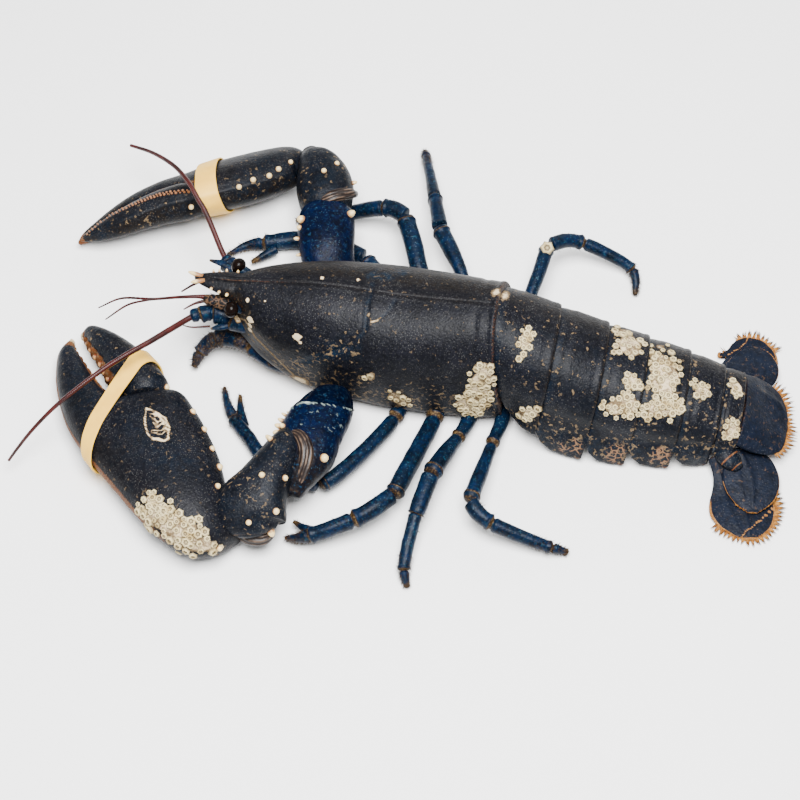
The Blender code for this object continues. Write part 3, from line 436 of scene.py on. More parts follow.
@dataclass(frozen=True)
class Finish:
    """A finish with a name; its graph is made once."""

    name: str

    def material(self) -> bpy.types.Material:
        """The finished material, from the file if it is there already.

        Returns:
            The material.
        """
        found = bpy.data.materials.get(self.name)
        if found:
            return found
        graph = Graph(self.name)
        self.paint(graph)
        return graph.material

    def paint(self, graph: Graph) -> None:
        """Builds the graph; each finish has its own."""
        raise NotImplementedError


@dataclass(frozen=True)
class ShellFinish(Finish):
    """Lobster shell: dark ground, blue parts, pale specks (partly painted glints of the shell's granules),
    tan flecks, rusty edges and cream crust.

    Masks: blue, brown, fleck, net, warm and crust, each from 0 to 1. Flecks are short stretches of the
    borders between warped cells; a net is those borders whole.
    """

    dark: Colour = (0.0014, 0.0016, 0.0028)
    tone: Colour = (0.0045, 0.0048, 0.0075)
    blue: Colour = (0.0012, 0.0075, 0.0170)
    brown: Colour = (0.0064, 0.0044, 0.0028)
    mottle: Colour = (0.0085, 0.0110, 0.0140)
    tan: Colour = (0.125, 0.085, 0.045)
    rust: Colour = (0.105, 0.034, 0.011)
    cream: Colour = (0.54, 0.43, 0.27)
    # Pale specks: partly their own colour, partly painted glints of the granules
    speck: Colour = (0.040, 0.040, 0.038)
    net: Colour = (0.15, 0.080, 0.042)
    speck_share: float = 0.75
    mottle_share: float = 0.35
    fleck_share: float = 1.0
    rough: float = 0.40
    gloss: float = 0.08

    def paint(self, graph: Graph) -> None:
        """Layers each colour over the last, from the ground up.

        Args:
            graph: the material's graph.
        """
        warped = graph.warped(6.0, 5.0)
        broad, fine = graph.cloud(16.0, place=warped), graph.cloud(1.8, 4.0, 0.65)
        colour = graph.mix(graph.step(0.40, 0.62, broad * 0.4 + fine * 0.6), self.dark, self.tone)
        colour = graph.mix(graph.mask("brown") * graph.step(0.30, 0.65, fine), colour, self.brown)
        patchy = graph.step(0.42, 0.60, graph.cloud(3.0, 4.0, 0.65, warped))
        colour = graph.mix(graph.mask("blue") * (0.20 + 0.80 * patchy), colour, self.blue)
        light = graph.step(0.54, 0.72, graph.cloud(1.5, 4.0, 0.7, graph.warped(2.0, 2.2)))
        colour = graph.mix(light * self.mottle_share, colour, self.mottle)
        # Pale specks on some cells: partly real specks, partly painted glints of the granules
        near, chance = graph.cells(0.74)
        glint_dots = (1.0 - graph.step(0.16, 0.36, near)) * (chance > 1.0 - self.speck_share)
        colour = graph.mix(glint_dots * (0.30 + 0.70 * graph.step(0.40, 0.65, broad)), colour, self.speck)
        edge, _ = graph.cells(3.0, "DISTANCE_TO_EDGE", graph.warped(1.7, 2.8))
        chosen = graph.step(-0.05, 0.05, graph.mask("fleck") - graph.step(0.30, 0.70, graph.cloud(2.3, 1.0)))
        fleck = (1.0 - graph.step(0.05, 0.13, edge)) * chosen
        spread, luck = graph.cells(3.6, place=graph.warped(1.4, 1.6))
        dashes = (1.0 - graph.step(0.10, 0.17, spread)) * (graph.mask("fleck") * 0.35 > luck)
        fleck = graph.maths("MAXIMUM", fleck, dashes)
        fleck = fleck * (0.35 + 0.60 * graph.step(0.35, 0.65, graph.cloud(5.0))) * self.fleck_share
        colour = graph.mix(fleck, colour, self.tan)
        net, _ = graph.cells(2.6, "DISTANCE_TO_EDGE", graph.warped(1.2, 1.2))
        colour = graph.mix(graph.mask("net") * (1.0 - graph.step(0.04, 0.12, net)), colour, self.net)
        warm = graph.step(0.30, 0.75, graph.mask("warm") + 0.7 * (graph.cloud(0.9, 3.0) - 0.5))
        rusty = graph.mix(graph.step(0.46, 0.72, graph.cloud(0.8)), self.rust, self.tan)
        colour = graph.mix(warm, colour, rusty)
        crust = graph.step(0.42, 0.58, graph.mask("crust") + 0.7 * (graph.cloud(1.3, 4.0) - 0.5))
        pale = graph.step(0.62, 0.86, graph.mask("crust") + 0.5 * (graph.cloud(0.9, 3.0) - 0.5))
        pale = graph.mix(pale, self.tan, self.cream)
        colour = graph.mix(crust, colour, pale)
        grain, _ = graph.cells(0.95, "SMOOTH_F1")
        bump = graph.relief(grain, 0.16, 0.75)
        bump = graph.relief(fine, 0.20, 0.5, bump)
        bump = graph.relief(crust + fleck * 0.4, 0.25, 0.8, bump)
        rough = self.rough + 0.34 * crust + 0.14 * warm + 0.10 * graph.cloud(4.0)
        graph.finish(colour, rough, bump, Specular_IOR_Level=self.gloss)


@dataclass(frozen=True)
class ChalkFinish(Finish):
    """Barnacle plates: chalky cream, with painted shade in the mouth and at the foot between the plates; in
    the mouth it is partly the barnacle's own dark colour. Mask: pit.
    """

    cream: Colour = (0.52, 0.43, 0.23)
    tan: Colour = (0.31, 0.22, 0.085)
    # Colour of the painted shade in the mouth and at the foot between the barnacles
    deep: Colour = (0.050, 0.032, 0.015)

    def paint(self, graph: Graph) -> None:
        """Cream to tan by noise, then painted shade by the mask.

        Args:
            graph: the material's graph.
        """
        colour = graph.mix(graph.step(0.44, 0.64, graph.cloud(4.5, 5.0, 0.7)), self.cream, self.tan)
        # Painted shade: dark in the mouth and at the foot between the barnacles; in the mouth it is partly
        # their own dark colour
        colour = graph.mix(graph.mask("pit"), colour, self.deep)
        bump = graph.relief(graph.cloud(0.35, 3.0), 0.12, 0.7)
        graph.finish(colour, 0.72 + 0.1 * graph.cloud(1.0), bump)


@dataclass(frozen=True)
class HornFinish(Finish):
    """Knobs, spines and teeth: cream top on an orange-brown base. Mask: base."""

    top: Colour = (0.68, 0.50, 0.23)
    base: Colour = (0.20, 0.080, 0.022)
    rough: float = 0.32

    def paint(self, graph: Graph) -> None:
        """Base to top by the mask, broken by fine noise.

        Args:
            graph: the material's graph.
        """
        share = graph.step(0.48, 1.05, graph.mask("base") + 0.5 * (graph.cloud(0.9, 2.0) - 0.5))
        bump = graph.relief(graph.cloud(0.5, 2.0), 0.06, 0.5)
        graph.finish(graph.mix(share, self.top, self.base), self.rough + 0.2 * share, bump)


@dataclass(frozen=True)
class FeelerFinish(Finish):
    """Feelers: dark red-brown with fine rings along them. Mask: along, in millimetres."""

    dark: Colour = (0.012, 0.0014, 0.0012)
    red: Colour = (0.050, 0.0040, 0.0030)

    def paint(self, graph: Graph) -> None:
        """Rings are a sine of the distance along the feeler.

        Args:
            graph: the material's graph.
        """
        along = graph.mask("along")
        rings = graph.maths("SINE", along * 7.0) * 0.5 + 0.5
        share = graph.step(0.3, 0.7, graph.cloud(5.0)) * (0.6 + 0.4 * rings)
        bump = graph.relief(rings, 0.08, 0.5)
        colour = graph.mix(share, self.dark, self.red)
        graph.finish(colour, 0.30 + 0.12 * rings, bump, Specular_IOR_Level=0.25)


@dataclass(frozen=True)
class FoldFinish(Finish):
    """Soft skin of a joint, in lengthwise brown and pale stripes. Mask: stripe, the angle round the fold."""

    dark: Colour = (0.010, 0.0065, 0.0055)
    pale: Colour = (0.085, 0.055, 0.038)

    def paint(self, graph: Graph) -> None:
        """Stripes are a sine of the angle, bent by noise.

        Args:
            graph: the material's graph.
        """
        wave = graph.maths("SINE", graph.mask("stripe") * 11.0 + 3.0 * graph.cloud(5.0)) * 0.5 + 0.5
        bump = graph.relief(wave, 0.3, 0.8)
        share = graph.step(0.30, 1.0, wave) * graph.step(0.35, 0.6, graph.cloud(4.0))
        colour = graph.mix(share, self.dark, self.pale)
        graph.finish(colour, 0.38, bump, Specular_IOR_Level=0.2)


@dataclass(frozen=True)
class PlainFinish(Finish):
    """A surface of two close colours with soft noise between: eyes, rubber, bristles and soft skin."""

    first: Colour = (0.5, 0.5, 0.5)
    second: Colour = (0.4, 0.4, 0.4)
    patch: float = 3.0
    grain: float = 0.5
    depth: float = 0.05
    rough: float = 0.5
    gloss: float = 0.4

    def paint(self, graph: Graph) -> None:
        """First to second by noise, with a grain of its own size.

        Args:
            graph: the material's graph.
        """
        share = graph.step(0.35, 0.65, graph.cloud(self.patch, 3.0))
        bump = graph.relief(graph.cloud(self.grain, 3.0), self.depth, 0.6)
        colour = graph.mix(share, self.first, self.second)
        graph.finish(colour, self.rough + 0.08 * share, bump, Specular_IOR_Level=self.gloss)


SHELL = ShellFinish("shell_dark")
LIMB = ShellFinish(
    "shell_blue", dark=(0.0006, 0.0014, 0.0030), tone=(0.0010, 0.0052, 0.0130), blue=(0.0008, 0.0075, 0.0270),
    mottle=(0.0080, 0.0340, 0.0560), tan=(0.120, 0.075, 0.030), rust=(0.018, 0.0090, 0.0035),
    speck=(0.040, 0.075, 0.095), speck_share=0.22, mottle_share=0.90, fleck_share=0.0, rough=0.34,
)
FAN = ShellFinish(
    "shell_fan", dark=(0.0014, 0.0022, 0.0048), tone=(0.0036, 0.0056, 0.0120), blue=(0.0020, 0.0055, 0.0160),
    rust=(0.17, 0.072, 0.018), tan=(0.30, 0.160, 0.055), speck=(0.030, 0.030, 0.034), speck_share=0.30,
    fleck_share=0.14, rough=0.44,
)
ARM = ShellFinish(
    "shell_arm", dark=(0.0004, 0.0008, 0.0026), tone=(0.0006, 0.0022, 0.0095), blue=(0.0006, 0.0034, 0.0190),
    mottle=(0.0060, 0.0270, 0.0560), tan=(0.085, 0.110, 0.105), rust=(0.030, 0.014, 0.006),
    cream=(0.36, 0.40, 0.34), speck=(0.030, 0.060, 0.085), speck_share=0.15, mottle_share=0.85,
    fleck_share=0.0, rough=0.34, gloss=0.05,
)
CHALK = ChalkFinish("barnacle_chalk")
HORN = HornFinish("knob_horn")
TOOTH = HornFinish("tooth_horn", top=(0.40, 0.20, 0.075), base=(0.10, 0.014, 0.004), rough=0.28)
GRANULE = HornFinish("granule_horn", top=(0.17, 0.062, 0.016), base=(0.030, 0.009, 0.003), rough=0.36)
FEELER = FeelerFinish("feeler_red")
EYE = PlainFinish(
    "eye_black", (0.0020, 0.0013, 0.0011), (0.0050, 0.0025, 0.0018), 1.5, 0.25, 0.01, 0.14, 0.06
)
RUBBER = PlainFinish("band_rubber", (0.76, 0.45, 0.060), (0.69, 0.39, 0.050), 9.0, 0.6, 0.04, 0.50, 0.3)
BRISTLE = PlainFinish("bristle_amber", (0.34, 0.15, 0.030), (0.17, 0.060, 0.010), 2.6, 0.3, 0.04, 0.55, 0.2)
HAIR = PlainFinish("hair_brown", (0.060, 0.030, 0.010), (0.022, 0.012, 0.005), 2.0, 0.3, 0.04, 0.60, 0.1)
SKIN = FoldFinish("joint_skin")
BELLY = PlainFinish("underside", (0.16, 0.085, 0.045), (0.08, 0.055, 0.045), 6.0, 1.0, 0.25, 0.48, 0.3)


# Meshes from grids


def mesh_object(
    name: str, points: Array, faces: Sequence[Array], finish: Finish, masks: dict[str, Array]
) -> bpy.types.Object:
    """A mesh object from arrays.

    Args:
        name: the object's name.
        points: (n, 3) places in millimetres.
        faces: arrays of vertex numbers, each with one row for a face.
        finish: what the surface is made of.
        masks: numbers for each point, by name.

    Returns:
        The object, at the origin.
    """
    mesh = bpy.data.meshes.new(name)
    sizes = np.concatenate([np.full(len(rows), rows.shape[1]) for rows in faces])
    corners = np.concatenate([rows.ravel() for rows in faces])
    mesh.vertices.add(len(points))
    mesh.vertices.foreach_set("co", (np.asarray(points) * MM).astype(np.float32).ravel())
    mesh.loops.add(len(corners))
    mesh.loops.foreach_set("vertex_index", corners.astype(np.int32))
    mesh.polygons.add(len(sizes))
    mesh.polygons.foreach_set("loop_start", np.concatenate([[0], np.cumsum(sizes)[:-1]]).astype(np.int32))
    mesh.update(calc_edges=True)
    mesh.validate()
    for key, values in masks.items():
        layer = mesh.attributes.new(key, "FLOAT", "POINT")
        layer.data.foreach_set("value", np.asarray(values, np.float32).ravel())
    mesh.shade_smooth()
    mesh.materials.append(finish.material())
    made = bpy.data.objects.new(name, mesh)
    bpy.context.scene.collection.objects.link(made)
    return made


def register(piece: bpy.types.Object, slot: str, *nodes: str) -> bpy.types.Object:
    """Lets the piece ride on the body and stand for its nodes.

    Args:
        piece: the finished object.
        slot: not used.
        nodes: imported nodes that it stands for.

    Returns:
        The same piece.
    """
    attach(piece, BODY)
    if nodes:
        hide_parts(*nodes)
    log.info("%s: %d faces, for %s", piece.name, len(piece.data.polygons), ", ".join(nodes) or "no node")
    return piece


@dataclass
class Surface:
    """A closed skin: rings of points along u, each ring running round v.

    Each end is a fan round a point that stands out by push, in millimetres. Where looped is set, the
    last ring joins the first instead.
    """

    points: Array
    push: float = 0.5
    looped: bool = False
    masks: dict[str, Array] = field(default_factory=dict)

    @property
    def along(self) -> Array:
        """Share of the way along, for each point."""
        count, size = self.points.shape[:2]
        return np.repeat(np.linspace(0.0, 1.0, count)[:, None], size, axis=1)

    @property
    def turn(self) -> Array:
        """Angle round the ring, for each point."""
        count, size = self.points.shape[:2]
        return np.repeat(circle(size)[None], count, axis=0)

    @property
    def travel(self) -> Array:
        """Distance along the middle line, in millimetres, for each point."""
        length = travelled(self.points.mean(axis=1))
        return np.repeat(length[:, None], self.points.shape[1], axis=1)

    def _crossed(self) -> tuple[Array, float]:
        """Cross products of the grid's two directions, and the sign that turns them outwards.

        Returns:
            The unit cross products and the sign.
        """
        if self.looped:
            lengthwise = np.roll(self.points, -1, axis=0) - np.roll(self.points, 1, axis=0)
        else:
            lengthwise = np.gradient(self.points, axis=0)
        round_about = np.roll(self.points, -1, axis=1) - np.roll(self.points, 1, axis=1)
        crossed = unit(np.cross(lengthwise, round_about))
        outward = self.points - self.points.mean(axis=1, keepdims=True)
        return crossed, 1.0 if (crossed * outward).sum() > 0 else -1.0

    def normals(self) -> Array:
        """Outward normals."""
        crossed, sign = self._crossed()
        return crossed * sign

    def press(self, amount: Array) -> "Surface":
        """Moves each point outwards by its amount."""
        self.points = self.points + self.normals() * np.asarray(amount)[..., None]
        return self

    def paint(self, name: str, amount: Array) -> "Surface":
        """Sets a mask, or raises it where the amount is more than it was.

        Args:
            name: the mask's name.
            amount: its value at each point.

        Returns:
            The surface itself.
        """
        amount = np.clip(amount, 0.0, 1.0) * np.ones(self.points.shape[:2])
        self.masks[name] = np.maximum(self.masks.get(name, 0.0), amount)
        return self

    def build(self, name: str, finish: Finish) -> bpy.types.Object:
        """The object, each quad lying between two rings.

        Args:
            name: the object's name.
            finish: what it is made of.

        Returns:
            The object, at the origin.
        """
        count, size = self.points.shape[:2]
        last = count if self.looped else count - 1
        ring, spot = np.meshgrid(np.arange(last), np.arange(size), indexing="ij")
        beyond, after = (ring + 1) % count, (spot + 1) % size
        quads = np.stack(
            [ring * size + spot, beyond * size + spot, beyond * size + after, ring * size + after], axis=-1
        ).reshape(-1, 4)
        points = self.points.reshape(-1, 3)
        faces = [quads]
        masks = {key: values.ravel() for key, values in self.masks.items()}
        if not self.looped:
            middles = self.points.mean(axis=1)
            front = middles[0] + self.push * unit(middles[0] - middles[1])
            back = middles[-1] + self.push * unit(middles[-1] - middles[-2])
            points = np.vstack([points, front, back])
            spots = np.arange(size)
            following = (spots + 1) % size
            tail = (count - 1) * size
            faces.append(np.column_stack([np.full(size, count * size), spots, following]))
            faces.append(np.column_stack([np.full(size, count * size + 1), tail + following, tail + spots]))
            masks = {
                key: np.concatenate([values.ravel(), [values[0].mean(), values[-1].mean()]])
                for key, values in self.masks.items()
            }
        if self._crossed()[1] < 0:
            faces = [rows[:, ::-1] for rows in faces]
        return mesh_object(name, points, faces, finish, masks)


def domed(points: Array, height: float, steps: int = 4) -> Array:
    """Rings with both ends rounded off.

    Args:
        points: rings of the open tube.
        height: how far each dome stands out.
        steps: rings added at each end.

    Returns:
        The rings, each new one being
        middle + cos(angle) * (end ring - middle) + sin(angle) * height * outwards.
    """
    angle = np.linspace(0.0, math.pi / 2, steps + 2)[1:-1, None, None]
    caps = []
    for end, inner in ((0, 1), (-1, -2)):
        middle = points[end].mean(axis=0)
        ahead = unit(middle - points[inner].mean(axis=0))
        caps.append(middle + np.cos(angle) * (points[end] - middle) + np.sin(angle) * height * ahead)
    return np.concatenate([caps[0][::-1], points, caps[1]])


def frames_along(rows: Array) -> tuple[Array, Array, Array]:
    """Directions along a line of stations, across it and above it, turned by the roll in column 5.

    Args:
        rows: the stations.

    Returns:
        The directions along, across and above, one row for each station.
    """
    along = unit(np.gradient(rows[:, :3], axis=0))
    across = unit(np.cross(along, UP))
    above = np.cross(across, along)
    roll = np.radians(rows[:, 5])[:, None] if rows.shape[1] > 5 else 0.0
    cosine, sine = np.cos(roll), np.sin(roll)
    return along, across * cosine + above * sine, above * cosine - across * sine


def limb(rows: Rows, rings: int = 100, around: int = 36, square: float = 0.94, push: float = 0.6) -> Surface:
    """A jointed piece: superellipses square to the curve through its stations.

    Args:
        rows: x, y, z, half width, half height and, where it turns, roll in degrees.
        rings: sections along it.
        around: points round it.
        square: exponent on the cosine and sine; less than 1 makes the section fuller.
        push: how far each rounded end stands out.

    Returns:
        Its surface: centre + width * cos(t)^square * across + height * sin(t)^square * above.
    """
    rows = spline(rows, rings)
    _, across, above = frames_along(rows)
    turn = circle(around)
    cosine, sine = powered(np.cos(turn), square), powered(np.sin(turn), square)
    wide = (across * np.abs(rows[:, 3:4]))[:, None] * cosine[None, :, None]
    high = (above * np.abs(rows[:, 4:5]))[:, None] * sine[None, :, None]
    return Surface(domed(rows[:, None, :3] + wide + high, push), 0.04)


def plate(rows: Rows, rings: int, around: int, square: float = 0.92) -> Surface:
    """A claw's palm or finger, spanned between its outer and inner edges.

    Each row holds outer x, y, inner x, y, height of the middle and half thickness; a section is
    middle + half span * cos(t) + thickness * sin(t)^square * up.

    Args:
        rows: the stations.
        rings: sections along it.
        around: points round it.
        square: exponent on the sine; less than 1 makes the section fuller.

    Returns:
        Its surface.
    """
    rows = spline(rows, rings)
    outer = np.column_stack([rows[:, 0:2], rows[:, 4]])
    inner = np.column_stack([rows[:, 2:4], rows[:, 4]])
    turn = circle(around)
    sine = powered(np.sin(turn), square)
    wide = ((outer - inner) / 2)[:, None] * np.cos(turn)[None, :, None]
    high = np.outer(rows[:, 5], UP)[:, None] * sine[None, :, None]
    return Surface(domed(((outer + inner) / 2)[:, None] + wide + high, 0.5), 0.04)


def arch(middle: float, half: float, wide_z: float, ridge: float, low_half: float, low: float, rim: float,
         belly: float) -> Array:
    """y and z round a shell section: up one flank, over the back, down the other and along the underside.

    Over the back, y = half * cos(t) and z rises from the widest line to the ridge as sin(t)^0.94.

    Args:
        middle: y of the middle.
        half: half of the greatest width.
        wide_z: height at which it is widest.
        ridge: height of the back.
        low_half: half width at the lower margin.
        low: height of that margin.
        rim: thickness of the margin.
        belly: height of the underside.

    Returns:
        The closed loop, one row for each point.
    """
    turn = np.linspace(0.0, math.pi, 13)
    over = np.column_stack([half * np.cos(turn), wide_z + (ridge - wide_z) * np.sin(turn) ** 0.94])
    flank = np.array([[low_half, low], [(half + low_half) / 2 + 0.3, (low + wide_z) / 2]])
    inside = np.array([[low_half - rim, low + 0.6], [low_half - 1.6 * rim, belly]])
    other = np.array([-1.0, 1.0])
    loop = np.vstack([flank, over, flank[::-1] * other, inside * other, [[0.0, belly - 0.2]], inside[::-1]])
    return loop + np.array([middle, 0.0])


@dataclass
class Tuft:
    """Bristles gathered from several places into one piece."""

    roots: list[Array] = field(default_factory=list)
    tips: list[Array] = field(default_factory=list)

    def add(self, roots: Array, tips: Array) -> None:
        """Takes in more bristles."""
        self.roots.append(roots)
        self.tips.append(tips)

    def build(self, name: str, thick: float, finish: Finish) -> bpy.types.Object:
        """Three-sided spikes from roots to tips, joined in one mesh.

        Args:
            name: the object's name.
            thick: radius of a bristle's root, in millimetres.
            finish: what it is made of.

        Returns:
            The object.
        """
        roots, tips = np.vstack(self.roots), np.vstack(self.tips)
        along = unit(tips - roots)
        across = unit(np.cross(along, UP + 0.01))
        above = np.cross(across, along)
        turn = circle(3)
        ring = np.cos(turn)[None, :, None] * across[:, None] + np.sin(turn)[None, :, None] * above[:, None]
        points = np.concatenate([roots[:, None] + thick * ring, tips[:, None]], axis=1)
        shape = np.array([[0, 2, 1], [0, 1, 3], [1, 2, 3], [2, 0, 3]])
        faces = (shape[None] + 4 * np.arange(len(roots))[:, None, None]).reshape(-1, 3)
        return mesh_object(name, points.reshape(-1, 3), [faces[:, ::-1]], finish, {})


# Body


def drawn(skin: Surface, line: Rows) -> Array:
    """Distance of each point from a line drawn on the shown side, large on the far side.

    Args:
        skin: the surface.
        line: corners of the polyline.

    Returns:
        The distances, in millimetres.
    """
    out = unit(SHOWN_SIDE)
    flat = np.eye(3) - np.outer(out, out)
    away = off_line(skin.points @ flat, np.asarray(line, float) @ flat)
    return np.where(skin.normals() @ out > 0.0, away, UNSEEN)


def cluster_crust(points: Array, clusters: Sequence["Cluster"]) -> Array:
    """How deep each point lies in the encrusted patch of any cluster, from 0 outside to 1 inside.

    Args:
        points: places in millimetres.
        clusters: the patches.

    Returns:
        The depth at each point.
    """
    depth = np.zeros(points.shape[:-1])
    for cluster in clusters:
        depth = np.maximum(depth, 1.0 - ease(0.60, 1.0, cluster.reach(points)))
    return depth * (0.72 + 0.22 * noise(points, 3.0, 62))


@dataclass(frozen=True)
class Cluster:
    """An elliptical patch of barnacles: its middle, half length, half width and turn in degrees.

    The ellipse lies across the shown side, as a pattern thrown on the shell from there.
    """

    node: str
    middle: tuple[float, float, float]
    length: float
    width: float
    turn: float
    spacing: float = 3.0
    deepest: float = 18.0
    stray: float = 0.22

    def axes(self) -> tuple[Array, Array, Array]:
        """Directions along the ellipse, across it and out of it.

        Returns:
            The three unit directions.
        """
        out = unit(SHOWN_SIDE)
        right = unit(np.cross(UP, out))
        above = unit(np.cross(out, right))
        angle = math.radians(self.turn)
        along = math.cos(angle) * right + math.sin(angle) * above
        return along, math.cos(angle) * above - math.sin(angle) * right, out

    def reach(self, points: Array) -> Array:
        """Distance from the middle as a share of the ellipse's radius, large far below it.

        Args:
            points: places in millimetres.

        Returns:
            The share at each point.
        """
        along, across, out = self.axes()
        step = points - np.array(self.middle)
        ragged = 1.0 + 0.30 * noise(points, 5.0, 5)
        share = np.hypot(step @ along / self.length, step @ across / self.width) * ragged
        return np.where(np.abs(step @ out) < self.deepest, share, UNSEEN)

    def spots(self, draw: np.random.Generator) -> Array:
        """Places of the barnacles: a jittered triangular grid cut to the ellipse.

        Args:
            draw: random numbers.

        Returns:
            The places, in millimetres.
        """
        along, across, _ = self.axes()
        reach = int(self.length / self.spacing) + 3
        row, column = np.mgrid[-reach : reach + 1, -reach : reach + 1]
        grid = np.stack([column + 0.5 * (row % 2), row * math.sqrt(0.75)], axis=-1).reshape(-1, 2)
        step = grid * self.spacing
        step = step + draw.uniform(-self.stray, self.stray, step.shape) * self.spacing
        places = np.array(self.middle) + step[:, :1] * along + step[:, 1:] * across
        return places[(self.reach(places) < 1.0) & (noise(places, 5.0, 61) > -0.62)]


CLUSTERS = (
    Cluster("crusher_palm", (-74.3, -111.8, 21.7), 20.5, 7.6, -31.0, 3.4),
    Cluster("crusher_palm", (-85.4, -104.6, 26.0), 7.5, 4.6, -60.0, 3.2),
    Cluster("carapace", (39.2, -25.0, 28.6), 13.5, 6.8, 80.0),
    Cluster("carapace", (35.0, -26.8, 20.0), 6.5, 5.0, 10.0),
    Cluster("carapace", (4.0, -27.9, 15.0), 6.4, 3.2, -24.0),
    Cluster("carapace", (-7.8, -27.4, 29.1), 2.6, 2.2, 0.0, 2.6),
    Cluster("abdomen_1", (55.9, -11.9, 49.7), 5.6, 3.4, 80.0, 2.8),
    Cluster("abdomen_1", (54.0, -18.0, 45.4), 2.0, 1.6, 20.0, 2.6),
    Cluster("abdomen_1", (60.5, -29.8, 21.9), 6.0, 2.8, 5.0),
    Cluster("abdomen_3", (99.8, 1.2, 38.8), 6.8, 6.6, 0.0),
    Cluster("abdomen_3", (95.0, 8.0, 38.0), 5.0, 2.4, -12.0),
    Cluster("abdomen_3", (102.5, -16.1, 37.5), 4.0, 4.0, 0.0),
    Cluster("abdomen_3", (100.6, -25.0, 32.4), 8.4, 5.2, 6.0),
    Cluster("abdomen_4", (115.9, -8.8, 35.5), 13.0, 7.8, 100.0),
    Cluster("abdomen_4", (117.1, -22.6, 30.9), 8.6, 5.4, 0.0),
    Cluster("abdomen_5", (132.9, -10.7, 30.4), 5.0, 4.4, -30.0, 2.8),
    Cluster("abdomen_6", (147.2, -2.0, 24.6), 6.0, 2.6, -62.0, 2.8),
    Cluster("abdomen_6", (147.4, -22.4, 20.8), 5.6, 3.4, 76.0, 2.6),
)


def clusters_on(node: str) -> list[Cluster]:
    """The clusters that sit on a node."""
    return [cluster for cluster in CLUSTERS if cluster.node == node]


